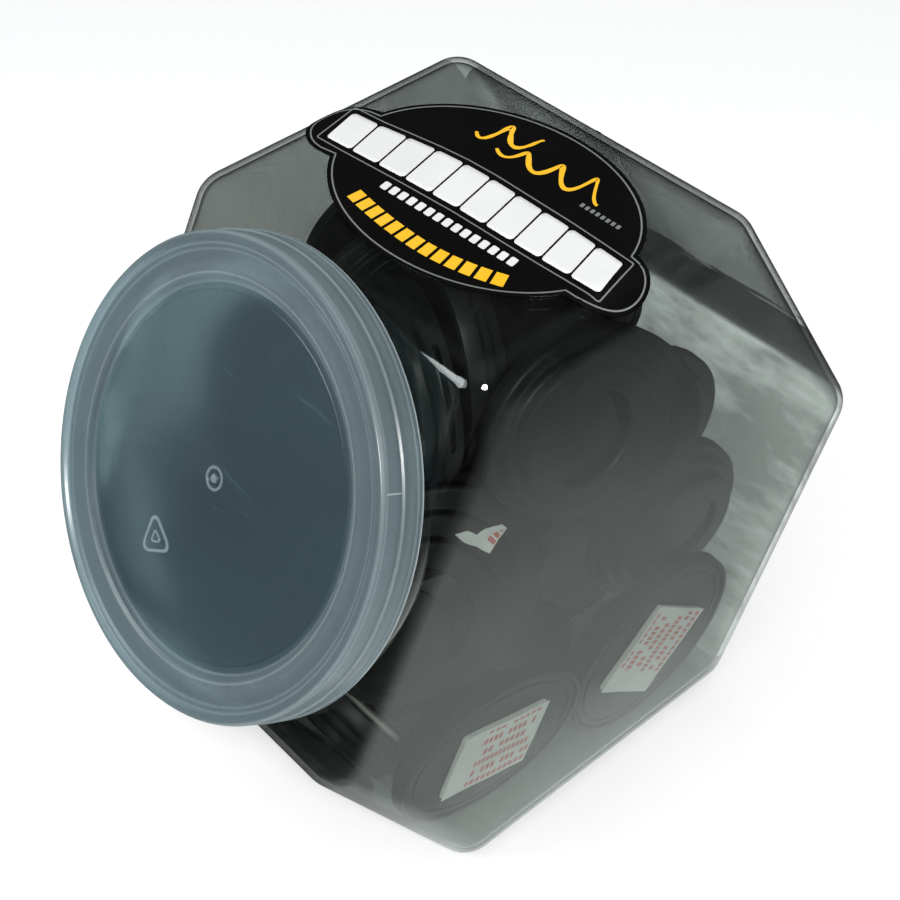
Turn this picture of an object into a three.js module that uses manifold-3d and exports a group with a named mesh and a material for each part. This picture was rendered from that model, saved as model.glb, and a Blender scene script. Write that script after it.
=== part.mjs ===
// Counter-top display jar of spring-loaded guitar pick holders.
// Frame: millimetres, +Z up. The origin is the centre of the jar's bottom face.
// +X is the jar's right side; the neck leaves the upper front face towards -Y.
// The jar is a clear hexagonal shell lying on one flat, closed by a
// snap lid, with a label on its top flat and a heap of loose pick holders inside.

import * as THREE from 'three';
import { mergeVertices } from 'three/addons/utils/BufferGeometryUtils.js';
import Module from 'manifold-3d';

const wasm = await Module();
wasm.setup();

// ---------------------------------------------------------------- dimensions
// Jar shell
const JAR_W = 114.8;            // width across the two flat ends, along X
const WALL = 1.5;
const EDGE_R = 9.6;             // rounding of every outer edge
const CORNER_R = 0.9;           // corner radius of the outline inset by EDGE_R
const CORNER_SEGMENTS = 3;
const EDGE_SEGMENTS = 3;
// Sharp corners of the outline as [y, z], clockwise seen from +X
const HEX = [
  [-38.5, 172.34], [48.5, 172.34], [99.5, 84.0],
  [51.0, 0.0], [-51.0, 0.0], [-94.5, 75.34],
];

// Neck, on the middle of the upper front face; heights are over that face
const FACE_TOP = HEX[0];
const FACE_BOTTOM = HEX[5];
const NECK_CENTRE = [0, (FACE_TOP[0] + FACE_BOTTOM[0]) / 2, (FACE_TOP[1] + FACE_BOTTOM[1]) / 2];
const NECK_RISE = Math.PI / 6;  // angle of the neck axis above the horizontal
const NECK_R = 55.4;            // outside of the neck
const BORE_R = NECK_R - WALL;
const BEAD_R = 56.7;            // snap bead
const FOOT_R = NECK_R + 1.9;    // thickened foot of the neck
const NECK_H = 12.5;            // mouth rim
const ROUND_SEGMENTS = 48;      // neck, bore and lid

// Lid, with heights over the same face
const LID_R = 60.0;
const LID_TOP = 16.0;           // crown of the rim bead
const RING_H = 14.7;            // flat ring inside the bead
const PANEL_R = 47.0;           // shallow sunk centre panel
const PANEL_H = 13.2;
const LID_T = 1.1;              // thickness at the centre panel
const RING_T = 1.4;             // thickness at the flat ring

// Label, in the XY plane
const LABEL_OVAL = { x: 3, y: 7.2, halfX: 45.5, halfY: 33 };
const LABEL_LOBES = [           // round lobes at the two ends: x, y, radius
  [-41.5, 0.8, 11.2],
  [46.6, 5.4, 11.0],
];
const LABEL_MAX_X = 56.6;       // the right lobe is cut off here
const LABEL_POINTS = 56;
const LABEL_GAP = 0.3;          // clearance over the jar's surface
const LABEL_T = 0.2;

// Pick holder: three stacked oval tiers; +X is the slot end, +Z the top.
// Each upper tier starts inside the one below it.
const LOW = { halfLength: 32, halfWidth: 26.5, offset: 0, from: 0, top: 5.2 };
const MIDDLE = { halfLength: 26.5, halfWidth: 23.0, offset: -2.5, from: 1.2, top: 8.4 };
const HIGH = { halfLength: 21.0, halfWidth: 19.5, offset: -4.5, from: 2.0, top: 12.2 };
const SKIN = 1.5;               // moulded wall of the case
const COVER_SEGMENTS = 20;      // also the base plate
const PLAIN_SEGMENTS = 16;      // closed cases, and the cuts in the top tier
const LINER = { length: 31.2, width: 25.2, thickness: 0.25, z: -1.05 };
const PAD = { length: LINER.length - 0.4, width: LINER.width - 0.4, thickness: 0.9, z: -0.15 };

// ---------------------------------------------------------------- helpers
const group = new THREE.Group();

function solid(geometry) {
  const bare = geometry.clone();
  bare.deleteAttribute('normal');
  bare.deleteAttribute('uv');
  const merged = mergeVertices(bare, 1e-4);
  return new wasm.Manifold(new wasm.Mesh({
    numProp: 3,
    vertProperties: new Float32Array(merged.attributes.position.array),
    triVerts: new Uint32Array(merged.index.array),
  }));
}

function geometryOf(manifold) {
  const mesh = manifold.getMesh();
  const geometry = new THREE.BufferGeometry();
  const positions = new Float32Array(mesh.vertProperties);
  geometry.setAttribute('position', new THREE.BufferAttribute(positions, 3));
  geometry.setIndex(new THREE.BufferAttribute(new Uint32Array(mesh.triVerts), 1));
  geometry.computeVertexNormals();
  return geometry;
}

function add(parent, name, geometry, material) {
  const mesh = new THREE.Mesh(geometry, material);
  mesh.name = name;
  parent.add(mesh);
}

function closedShape(points) {
  const shape = new THREE.Shape(points.map(([x, y]) => new THREE.Vector2(x, y)));
  shape.closePath();
  return shape;
}

// Straight prism between two heights
function prism(points, bottom, top) {
  return new THREE.ExtrudeGeometry(closedShape(points), {
    depth: top - bottom, steps: 1, curveSegments: 1, bevelEnabled: false,
  }).translate(0, 0, bottom);
}

function ovalPrism({ halfLength, halfWidth, offset, from, top }, segments) {
  const points = [];
  for (let i = 0; i < segments; i++) {
    const angle = 2 * Math.PI * i / segments;
    points.push([offset + halfLength * Math.cos(angle), halfWidth * Math.sin(angle)]);
  }
  return prism(points, from, top);
}

// The same oval made smaller all round, between new heights
function insetOval(oval, inset, from, top) {
  return {
    halfLength: oval.halfLength - inset,
    halfWidth: oval.halfWidth - inset,
    offset: oval.offset,
    from,
    top,
  };
}

// Turns a [radius, height] profile about Z
function lathe(profile) {
  const points = profile.map(([radius, height]) => new THREE.Vector2(radius, height));
  return new THREE.LatheGeometry(points, ROUND_SEGMENTS).rotateX(Math.PI / 2);
}

// Outline of the hexagon moved inwards by EDGE_R, its corners rounded to CORNER_R
function insetHexOutline() {
  const count = HEX.length;
  const outwardNormals = HEX.map(([y, z], i) => {
    const [nextY, nextZ] = HEX[(i + 1) % count];
    const length = Math.hypot(nextY - y, nextZ - z);
    return [(z - nextZ) / length, (nextY - y) / length];
  });
  return HEX.flatMap(([y, z], i) => {
    const before = outwardNormals[(i + count - 1) % count];
    const after = outwardNormals[i];
    // the arc's centre lies EDGE_R + CORNER_R inside both sides
    const cosine = before[0] * after[0] + before[1] * after[1];
    const setback = (EDGE_R + CORNER_R) / (1 + cosine);
    const centreY = y - (before[0] + after[0]) * setback;
    const centreZ = z - (before[1] + after[1]) * setback;
    const start = Math.atan2(before[1], before[0]);
    let end = Math.atan2(after[1], after[0]);
    if (end > start) end -= 2 * Math.PI;    // keep turning clockwise
    const arc = [];
    for (let k = 0; k <= CORNER_SEGMENTS; k++) {
      const angle = start + (end - start) * k / CORNER_SEGMENTS;
      arc.push([centreY + CORNER_R * Math.cos(angle), centreZ + CORNER_R * Math.sin(angle)]);
    }
    return arc;
  });
}

// Rounded hexagonal prism along X; grow moves every face outwards
function jarBlock(grow) {
  const bevel = EDGE_R + grow;
  const depth = JAR_W - 2 * EDGE_R;
  const block = new THREE.ExtrudeGeometry(closedShape(insetHexOutline()), {
    depth, steps: 1, curveSegments: 1,
    bevelEnabled: true, bevelThickness: bevel, bevelSize: bevel, bevelSegments: EDGE_SEGMENTS,
  });
  block.translate(0, 0, -depth / 2);
  // the outline's two axes become Y and Z, the extrusion X
  return block.applyMatrix4(new THREE.Matrix4().makeBasis(
    new THREE.Vector3(0, 1, 0), new THREE.Vector3(0, 0, 1), new THREE.Vector3(1, 0, 0)));
}

// ---------------------------------------------------------------- materials
const clearPlastic = new THREE.MeshStandardMaterial({
  color: 0xaeb4b0, roughness: 0.06, transparent: true, opacity: 0.25,
});
const lidPlastic = new THREE.MeshStandardMaterial({
  color: 0x8fa6b0, roughness: 0.38, transparent: true, opacity: 0.7,
});
const labelFilm = new THREE.MeshStandardMaterial({ color: 0x0c0c0c, roughness: 0.3 });
const blackPlastic = new THREE.MeshStandardMaterial({ color: 0x141515, roughness: 0.42 });
const foam = new THREE.MeshStandardMaterial({ color: 0xd9dad6, roughness: 0.9 });
const paper = new THREE.MeshStandardMaterial({ color: 0xeceae4, roughness: 0.6 });
const steel = new THREE.MeshStandardMaterial({ color: 0xb8babc, roughness: 0.3, metalness: 1 });

// ---------------------------------------------------------------- jar and neck
// Frame of the neck and lid: origin on the jar's face, +Z out along the neck
const neckGroup = new THREE.Group();
neckGroup.position.set(...NECK_CENTRE);
neckGroup.quaternion.setFromUnitVectors(
  new THREE.Vector3(0, 0, 1),
  new THREE.Vector3(0, -Math.cos(NECK_RISE), Math.sin(NECK_RISE)));
neckGroup.updateMatrixWorld(true);

function jarBodyGeometry() {
  const neck = lathe([
    // foot, starting inside the jar
    [0, -6.5], [NECK_R, -6.5], [FOOT_R, -2.0], [FOOT_R, 0.6], [NECK_R + 0.6, 1.6], [NECK_R, 2.6],
    // snap bead
    [NECK_R, 5.6], [BEAD_R, 6.6], [BEAD_R, 7.6], [NECK_R, 8.6],
    // chamfered mouth rim
    [NECK_R, NECK_H - 0.4], [NECK_R - 0.4, NECK_H], [0, NECK_H],
  ]).applyMatrix4(neckGroup.matrixWorld);
  const bore = lathe([
    [0, -16], [BORE_R, -16], [BORE_R, NECK_H + 2], [0, NECK_H + 2],
  ]).applyMatrix4(neckGroup.matrixWorld);
  return geometryOf(solid(jarBlock(0))
    .add(solid(neck))
    .subtract(solid(jarBlock(-WALL)))
    .subtract(solid(bore)));
}

// ---------------------------------------------------------------- lid
function lidGeometry() {
  return lathe([
    // underside, from the axis outwards
    [0, PANEL_H - LID_T], [PANEL_R + 1.0, PANEL_H - LID_T],
    [PANEL_R + 2.6, RING_H - RING_T], [LID_R - 1.9, RING_H - RING_T],
    // inside of the skirt, downwards, with its inward ridge
    [LID_R - 1.7, 5.6], [LID_R - 2.5, 5.0], [LID_R - 2.5, 4.4], [LID_R - 1.5, 3.4],
    // outside of the stepped skirt, upwards
    [LID_R, 3.4], [LID_R, 9.4], [LID_R - 0.5, 9.9], [LID_R - 0.5, LID_TOP - 1.0],
    // raised rim bead, flat ring, sunk panel
    [LID_R - 1.4, LID_TOP], [LID_R - 3.4, LID_TOP], [LID_R - 4.5, RING_H],
    [PANEL_R + 2.2, RING_H], [PANEL_R, PANEL_H], [0, PANEL_H],
  ]);
}

// ---------------------------------------------------------------- label
// An ellipse with a lobe at each end, following the top of the jar
function labelGeometry() {
  const { x: centreX, y: centreY, halfX, halfY } = LABEL_OVAL;
  const outline = [];
  for (let i = 0; i < LABEL_POINTS; i++) {
    const angle = 2 * Math.PI * i / LABEL_POINTS;
    const cos = Math.cos(angle);
    const sin = Math.sin(angle);
    // reach from the centre in this direction: the ellipse, or a lobe's far side
    let reach = 1 / Math.hypot(cos / halfX, sin / halfY);
    for (const [lobeX, lobeY, radius] of LABEL_LOBES) {
      const x = lobeX - centreX;
      const y = lobeY - centreY;
      const along = x * cos + y * sin;
      const missSquared = x * x + y * y - along * along;
      if (along > 0 && missSquared < radius * radius) {
        reach = Math.max(reach, along + Math.sqrt(radius * radius - missSquared));
      }
    }
    outline.push([Math.min(centreX + reach * cos, LABEL_MAX_X), centreY + reach * sin]);
  }
  // heights that span the jar's top flat
  return geometryOf(solid(prism(outline, 150, 180))
    .intersect(solid(jarBlock(LABEL_GAP + LABEL_T)))
    .subtract(solid(jarBlock(LABEL_GAP))));
}

// ---------------------------------------------------------------- pick holders
function stackedTiers(segments) {
  return [LOW, MIDDLE, HIGH]
    .map(tier => solid(ovalPrism(tier, segments)))
    .reduce((stack, tier) => stack.add(tier));
}

// Crescent opening in the top tier, bulging towards +X
function crescent() {
  const disc = { halfLength: 13, halfWidth: 13, offset: HIGH.offset, from: 4, top: 16 };
  const cut = { halfLength: 12.2, halfWidth: 12.6, offset: HIGH.offset - 6, from: 3, top: 17 };
  return solid(ovalPrism(disc, PLAIN_SEGMENTS)).subtract(solid(ovalPrism(cut, PLAIN_SEGMENTS)));
}

function coverGeometry() {
  const lowHollow = insetOval(LOW, SKIN, -1, LOW.top - SKIN);
  const highHollow = insetOval(HIGH, SKIN, 0, HIGH.top - SKIN);
  const pickSlot = new THREE.BoxGeometry(10, 27, 1.6).translate(LOW.halfLength - 1, 0, 3.0);
  return geometryOf(stackedTiers(COVER_SEGMENTS)
    .subtract(solid(ovalPrism(lowHollow, COVER_SEGMENTS)))
    .subtract(solid(ovalPrism(highHollow, PLAIN_SEGMENTS)))
    .subtract(crescent())
    .subtract(solid(pickSlot)));
}

function basePlateGeometry() {
  const clearance = 0.5;
  const plate = insetOval(LOW, SKIN + clearance, 0.6, 2.0);
  return geometryOf(solid(ovalPrism(plate, COVER_SEGMENTS)));
}

// Rounded-triangle plate, the outline of a pick, with a spring boss under it
function pusherGeometry() {
  const cornerSegments = 3;
  const corners = [             // x from the top tier's centre, y, radius
    [13.6, 0, 2.4],
    [-8.4, 10.6, 4.0],
    [-8.4, -10.6, 4.0],
  ];
  const outline = corners.flatMap(([x, y, radius], i) => {
    const arc = [];
    for (let k = 0; k <= cornerSegments; k++) {
      const angle = (120 * i - 60 + 120 * k / cornerSegments) * Math.PI / 180;
      arc.push([HIGH.offset + x + radius * Math.cos(angle), y + radius * Math.sin(angle)]);
    }
    return arc;
  });
  const boss = { halfLength: 2.4, halfWidth: 2.4, offset: HIGH.offset, from: 7.4, top: 9.2 };
  return geometryOf(solid(prism(outline, 8.9, 10.1)).add(solid(ovalPrism(boss, 10))));
}

// Conical coil, narrowing upwards
class Coil extends THREE.Curve {
  getPoint(t, target = new THREE.Vector3()) {
    const turns = 2.5;
    const angle = 2 * Math.PI * turns * t;
    const radius = 5.4 - 1.6 * t;
    const height = 2.9 + 5.1 * t;
    return target.set(
      HIGH.offset + radius * Math.cos(angle), radius * Math.sin(angle), height);
  }
}

function springGeometry() {
  const wireR = 0.5;
  const wire = [];
  for (let i = 0; i < 4; i++) {
    wire.push([wireR * Math.cos(Math.PI / 2 * i), wireR * Math.sin(Math.PI / 2 * i)]);
  }
  return new THREE.ExtrudeGeometry(closedShape(wire), {
    steps: 26, bevelEnabled: false, curveSegments: 1, extrudePath: new Coil(),
  });
}

function sheetGeometry({ length, width, thickness, z }) {
  return new THREE.BoxGeometry(length, width, thickness).translate(0, 0, z);
}

// Pieces of a holder: name ending, geometry, material
const FULL_PIECES = [
  ['_cover', coverGeometry(), blackPlastic],
  ['_base_plate', basePlateGeometry(), blackPlastic],
  ['_pusher', pusherGeometry(), blackPlastic],
  ['_spring', springGeometry(), steel],
  ['_foam_pad', sheetGeometry(PAD), foam],
  ['_liner', sheetGeometry(LINER), paper],
];
const CLOSED_PIECES = [['_case', geometryOf(stackedTiers(PLAIN_SEGMENTS)), blackPlastic]];

// Resting places of the holders in the heap: x, y, z, then the quaternion x, y, z, w.
// The first FULL_COUNT holders are built with all their pieces, the others as closed cases.
const FULL_COUNT = 4;
const HEAP = [
  [51.59, -37.11, 38.00, -0.53543, -0.38042, 0.59705, 0.46058],
  [52.11, 22.91, 31.61, -0.24567, -0.62693, 0.23910, 0.69960],
  [41.85, 0.33, 128.24, 0.30610, 0.60985, 0.29812, 0.66746],
  [31.03, -40.76, 86.26, 0.47792, 0.14999, 0.65321, 0.56781],
  [29.08, 21.00, 107.24, 0.32022, 0.47698, 0.32592, 0.75081],
  [17.37, 47.24, 80.03, 0.35010, 0.63197, 0.31574, 0.61510],
  [30.30, 45.84, 54.42, 0.15118, 0.72955, 0.09110, 0.66076],
  [-10.75, -68.68, 74.23, 0.71704, 0.02623, -0.04205, 0.69527],
  [6.56, -49.81, 29.62, 0.26349, 0.80651, -0.51131, 0.13664],
  [36.86, -20.47, 33.33, -0.65024, 0.06108, 0.75578, -0.04733],
  [-24.86, -64.82, 71.07, -0.18383, 0.67190, 0.68739, 0.20556],
  [11.41, -20.01, 33.76, -0.74157, 0.15363, -0.64332, 0.11228],
  [16.28, -35.92, 82.25, 0.48895, 0.22264, 0.60228, 0.59044],
  [6.26, -18.17, 30.72, -0.20572, 0.59289, 0.32833, -0.70594],
  [8.23, -51.61, 119.01, -0.46967, -0.07044, 0.16505, -0.86441],
  [-24.63, -2.33, 28.95, 0.33228, -0.67092, 0.55104, -0.36852],
  [-14.57, -30.37, 72.80, -0.16629, -0.80981, 0.38435, -0.41089],
  [-30.36, 23.08, 29.63, -0.78841, -0.19208, -0.34059, -0.47488],
  [2.75, -0.67, 75.79, 0.73698, 0.37433, 0.08213, 0.55677],
  [-21.76, -44.17, 120.98, -0.86704, 0.03978, -0.00514, 0.49662],
  [13.53, 38.86, 35.74, -0.68459, 0.14702, 0.69984, -0.14125],
  [-52.75, -28.08, 48.96, -0.70475, 0.17200, -0.67590, 0.13003],
  [-31.41, 27.40, 32.24, -0.22094, -0.53127, -0.29929, 0.76116],
  [-22.28, 51.01, 113.12, -0.67913, 0.15918, 0.38158, 0.60650],
  [-37.84, 58.27, 58.36, 0.12685, 0.63216, -0.36965, 0.66906],
  [-29.07, 17.57, 77.22, -0.73150, -0.64464, -0.17218, 0.14036],
  [4.11, 51.02, 70.28, -0.36929, 0.37698, 0.59873, -0.60252],
  [-27.92, 8.15, 95.27, 0.79239, 0.59928, -0.04668, -0.10391],
  [10.76, -17.29, 137.60, -0.25739, 0.67061, 0.51170, 0.47138],
  [10.88, -21.07, 136.53, 0.63437, -0.28587, 0.03272, 0.71749],
  [6.13, 26.37, 125.03, 0.14254, 0.72399, 0.01119, 0.67484],
  [-36.96, 15.71, 128.06, 0.48640, -0.53587, -0.64148, 0.25448],
  [-10.43, 26.71, 123.47, -0.70497, -0.21417, 0.40548, 0.54105],
  [-22.92, 4.87, 123.98, -0.08457, 0.66091, -0.55243, 0.50087],
];

function addHolder([x, y, z, ...quaternion], i) {
  const holder = new THREE.Group();
  holder.position.set(x, y, z);
  holder.quaternion.set(...quaternion).normalize();
  const id = 'holder_' + String(i + 1).padStart(2, '0');
  for (const [ending, geometry, material] of i < FULL_COUNT ? FULL_PIECES : CLOSED_PIECES) {
    add(holder, id + ending, geometry, material);
  }
  group.add(holder);
}

// ---------------------------------------------------------------- assembly
add(group, 'jar_body', jarBodyGeometry(), clearPlastic);
add(neckGroup, 'lid', lidGeometry(), lidPlastic);
group.add(neckGroup);
add(group, 'front_label', labelGeometry(), labelFilm);
HEAP.forEach(addHolder);

export default group;
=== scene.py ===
"""Looks for the display jar of pick holders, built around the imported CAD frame. Metres, +Z up.

The jar is a clear six-sided block lying along X. It stands on the floor at z = 0; its round
neck and lid lean out towards -Y and up, the label is on its top flat, the holders lie inside.
Shapes are drawn in millimetres and scaled to metres when they become meshes.
"""
import math
from functools import reduce

import bmesh
import bpy
from mathutils import Matrix, Quaternion, Vector


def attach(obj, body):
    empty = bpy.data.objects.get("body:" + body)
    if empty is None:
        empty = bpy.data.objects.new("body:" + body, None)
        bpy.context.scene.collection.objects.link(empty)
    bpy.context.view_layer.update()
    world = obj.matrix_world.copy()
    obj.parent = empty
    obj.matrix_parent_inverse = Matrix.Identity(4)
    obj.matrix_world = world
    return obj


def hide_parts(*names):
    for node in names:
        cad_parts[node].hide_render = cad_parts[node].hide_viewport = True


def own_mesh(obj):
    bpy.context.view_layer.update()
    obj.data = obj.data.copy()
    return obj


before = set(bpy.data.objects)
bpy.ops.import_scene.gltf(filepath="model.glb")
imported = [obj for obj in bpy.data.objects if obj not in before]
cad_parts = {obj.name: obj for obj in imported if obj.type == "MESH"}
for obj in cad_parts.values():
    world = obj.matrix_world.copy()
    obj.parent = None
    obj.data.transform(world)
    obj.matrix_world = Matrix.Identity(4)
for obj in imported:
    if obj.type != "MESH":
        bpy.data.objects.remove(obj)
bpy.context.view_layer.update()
MM = 0.001

# ------------------------------------------------------------------ main dimensions, millimetres
JAR_WIDTH = 114.8              # along X
WALL = 1.5
EDGE_R = 9.6                   # rounding between the two ends and the six sides
CORNER_R = 0.9                 # extra rounding at the six corners of the profile
FLAT_HALF = JAR_WIDTH / 2 - EDGE_R
TOP_Z = 172.34
# corners of the jar's profile: (y, z)
HEX = [(-38.5, TOP_Z), (48.5, TOP_Z), (99.5, 84.0), (51.0, 0.0), (-51.0, 0.0), (-94.5, 75.34)]
JAR_MID = (0.0, 84.0)          # (y, z)

# the neck stands on the middle of the sloping face between the last and first corners
NECK_CENTRE = Vector((0, (HEX[0][0] + HEX[5][0]) / 2, (HEX[0][1] + HEX[5][1]) / 2))
NECK_DIR = Vector((0, -0.8660254, 0.5)).normalized()
NECK_R = 55.4
BORE_R = NECK_R - WALL
BEAD_R = 56.7
NECK_HEIGHT = 12.5

# tiers of a holder: (half length, half width, centre x)
TIER_X = -4.5                  # axis of the top tier, thumb opening, pusher and spring
RIM = (32.0, 26.5, 0.0)
MIDDLE_TIER = (26.5, 23.0, -2.5)
TOP_TIER = (21.0, 19.5, TIER_X)
BASE_PLATE = (30.0, 24.5, 0.0)
SKIN = 1.5

FULL_COUNT = 4                 # the first holders are built with all their pieces
BARE = (10, 14, 20, 21, 26, 28, 29, 30)    # numbers of the closed holders without a pad
# places of the holders: x, y, z, then the quaternion's x, y, z, w
HEAP = [
    (51.59, -37.11, 38.00, -0.53543, -0.38042, 0.59705, 0.46058),
    (52.11, 22.91, 31.61, -0.24567, -0.62693, 0.23910, 0.69960),
    (41.85, 0.33, 128.24, 0.30610, 0.60985, 0.29812, 0.66746),
    (31.03, -40.76, 86.26, 0.47792, 0.14999, 0.65321, 0.56781),
    (29.08, 21.00, 107.24, 0.32022, 0.47698, 0.32592, 0.75081),
    (17.37, 47.24, 80.03, 0.35010, 0.63197, 0.31574, 0.61510),
    (30.30, 45.84, 54.42, 0.15118, 0.72955, 0.09110, 0.66076),
    (-10.75, -68.68, 74.23, 0.71704, 0.02623, -0.04205, 0.69527),
    (6.56, -49.81, 29.62, 0.26349, 0.80651, -0.51131, 0.13664),
    (36.86, -20.47, 33.33, -0.65024, 0.06108, 0.75578, -0.04733),
    (-24.86, -64.82, 71.07, -0.18383, 0.67190, 0.68739, 0.20556),
    (11.41, -20.01, 33.76, -0.74157, 0.15363, -0.64332, 0.11228),
    (16.28, -35.92, 82.25, 0.48895, 0.22264, 0.60228, 0.59044),
    (6.26, -18.17, 30.72, -0.20572, 0.59289, 0.32833, -0.70594),
    (8.23, -51.61, 119.01, -0.46967, -0.07044, 0.16505, -0.86441),
    (-24.63, -2.33, 28.95, 0.33228, -0.67092, 0.55104, -0.36852),
    (-14.57, -30.37, 72.80, -0.16629, -0.80981, 0.38435, -0.41089),
    (-30.36, 23.08, 29.63, -0.78841, -0.19208, -0.34059, -0.47488),
    (2.75, -0.67, 75.79, 0.73698, 0.37433, 0.08213, 0.55677),
    (-21.76, -44.17, 120.98, -0.86704, 0.03978, -0.00514, 0.49662),
    (13.53, 38.86, 35.74, -0.68459, 0.14702, 0.69984, -0.14125),
    (-52.75, -28.08, 48.96, -0.70475, 0.17200, -0.67590, 0.13003),
    (-31.41, 27.40, 32.24, -0.22094, -0.53127, -0.29929, 0.76116),
    (-22.28, 51.01, 113.12, -0.67913, 0.15918, 0.38158, 0.60650),
    (-37.84, 58.27, 58.36, 0.12685, 0.63216, -0.36965, 0.66906),
    (-29.07, 17.57, 77.22, -0.73150, -0.64464, -0.17218, 0.14036),
    (4.11, 51.02, 70.28, -0.36929, 0.37698, 0.59873, -0.60252),
    (-27.92, 8.15, 95.27, 0.79239, 0.59928, -0.04668, -0.10391),
    (10.76, -17.29, 137.60, -0.25739, 0.67061, 0.51170, 0.47138),
    (10.88, -21.07, 136.53, 0.63437, -0.28587, 0.03272, 0.71749),
    (6.13, 26.37, 125.03, 0.14254, 0.72399, 0.01119, 0.67484),
    (-36.96, 15.71, 128.06, 0.48640, -0.53587, -0.64148, 0.25448),
    (-10.43, 26.71, 123.47, -0.70497, -0.21417, 0.40548, 0.54105),
    (-22.92, 4.87, 123.98, -0.08457, 0.66091, -0.55243, 0.50087),
]


# ------------------------------------------------------------------ meshes and objects
# A shape is a pair (vertices in millimetres, faces).
def finish_mesh(mesh, sharp):
    """Faces outwards, smooth shading, sharp edges above an angle in degrees."""
    bm = bmesh.new()
    bm.from_mesh(mesh)
    bmesh.ops.recalc_face_normals(bm, faces=bm.faces[:])
    bm.to_mesh(mesh)
    bm.free()
    mesh.shade_smooth()
    mesh.set_sharp_from_angle(angle=math.radians(sharp))
    mesh.update()


def mesh_of(name, shape, sharp=30.0):
    verts, faces = shape
    mesh = bpy.data.meshes.new(name)
    mesh.from_pydata([(x * MM, y * MM, z * MM) for x, y, z in verts], [], faces)
    mesh.validate()
    mesh.update()
    finish_mesh(mesh, sharp)
    return mesh


def put(name, mesh, matrix=None):
    ob = bpy.data.objects.new(name, mesh)
    bpy.context.scene.collection.objects.link(ob)
    if matrix is not None:
        ob.matrix_world = matrix
    return ob


def solid(name, shape, matrix=None, sharp=30.0):
    return put(name, mesh_of(name, shape, sharp), matrix)


def enrol(ob, body, replaced=None):
    """Tells the frame what the object moves with and the piece it replaces."""
    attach(ob, body)
    if replaced:
        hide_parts(replaced)


def boolean(base, steps, sharp=30.0):
    """Applies exact booleans ((operation, object), ...) and removes the tools."""
    for operation, tool in steps:
        modifier = base.modifiers.new("cut", "BOOLEAN")
        modifier.operation = operation
        modifier.solver = "EXACT"
        modifier.object = tool
        bpy.context.view_layer.update()
        depsgraph = bpy.context.evaluated_depsgraph_get()
        mesh = bpy.data.meshes.new_from_object(base.evaluated_get(depsgraph))
        base.modifiers.clear()
        old = base.data
        base.data = mesh
        bpy.data.meshes.remove(old)
    for _, tool in steps:
        mesh = tool.data
        bpy.data.objects.remove(tool)
        bpy.data.meshes.remove(mesh)
    bm = bmesh.new()
    bm.from_mesh(base.data)
    bmesh.ops.remove_doubles(bm, verts=bm.verts[:], dist=2e-6)
    bmesh.ops.dissolve_degenerate(bm, edges=bm.edges[:], dist=1e-6)
    bm.to_mesh(base.data)
    bm.free()
    finish_mesh(base.data, sharp)


def carved_mesh(name, shape, steps):
    """Mesh of a shape after booleans, without an object."""
    ob = solid(name, shape)
    boolean(ob, steps)
    mesh = ob.data
    bpy.data.objects.remove(ob)
    mesh.name = name
    return mesh


# ------------------------------------------------------------------ shapes
def loft(rings, ends="fan"):
    """Quads between equal rings; ends are "fan", "polygon" or "loop" (last ring meets first)."""
    size, count = len(rings[0]), len(rings)
    verts = [point for ring in rings for point in ring]
    faces = []
    for i in range(count if ends == "loop" else count - 1):
        here, there = i * size, ((i + 1) % count) * size
        for k in range(size):
            j = (k + 1) % size
            faces.append((here + k, here + j, there + j, there + k))
    last = (count - 1) * size
    if ends == "polygon":
        faces += [tuple(range(size)), tuple(range(last, last + size))]
    if ends == "fan":
        for ring in (rings[0], rings[-1]):
            verts.append(tuple(sum(point[axis] for point in ring) / size for axis in range(3)))
        hub = count * size
        faces += [(hub, (k + 1) % size, k) for k in range(size)]
        faces += [(hub + 1, last + k, last + (k + 1) % size) for k in range(size)]
    return verts, faces


def lathe(profile, segments, rise=None):
    """Turns (radius, height) points about Z, from axis to axis; rise adds to the height."""
    verts, faces, rows = [], [], []
    for radius, height in profile:
        if radius < 1e-6:
            rows.append([len(verts)])
            verts.append((0, 0, height))
            continue
        rows.append(list(range(len(verts), len(verts) + segments)))
        for k in range(segments):
            angle = 2 * math.pi * k / segments
            extra = rise(angle, radius, height) if rise else 0.0
            verts.append((radius * math.cos(angle), radius * math.sin(angle), height + extra))
    for low, high in zip(rows, rows[1:]):
        for k in range(segments):
            j = (k + 1) % segments
            if len(low) == 1:
                faces.append((low[0], high[k], high[j]))
            elif len(high) == 1:
                faces.append((low[k], low[j], high[0]))
            else:
                faces.append((low[k], low[j], high[j], high[k]))
    return verts, faces


def oval(half_length, half_width, centre_x, z, points=96):
    angles = [2 * math.pi * k / points for k in range(points)]
    return [(centre_x + half_length * math.cos(a), half_width * math.sin(a), z) for a in angles]


def ovals(tier, rows):
    """Rings about a tier; rows are (added half length, added half width, shift in x, z)."""
    half_length, half_width, centre_x = tier
    return [oval(half_length + longer, half_width + wider, centre_x + shift, z)
            for longer, wider, shift, z in rows]


def arc_points(centre, radius, start, end, steps):
    """Points from one angle to another, the short way round."""
    while end - start > math.pi:
        end -= 2 * math.pi
    while end - start < -math.pi:
        end += 2 * math.pi
    angles = [start + (end - start) * k / steps for k in range(steps + 1)]
    return [(centre[0] + radius * math.cos(a), centre[1] + radius * math.sin(a)) for a in angles]


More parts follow.
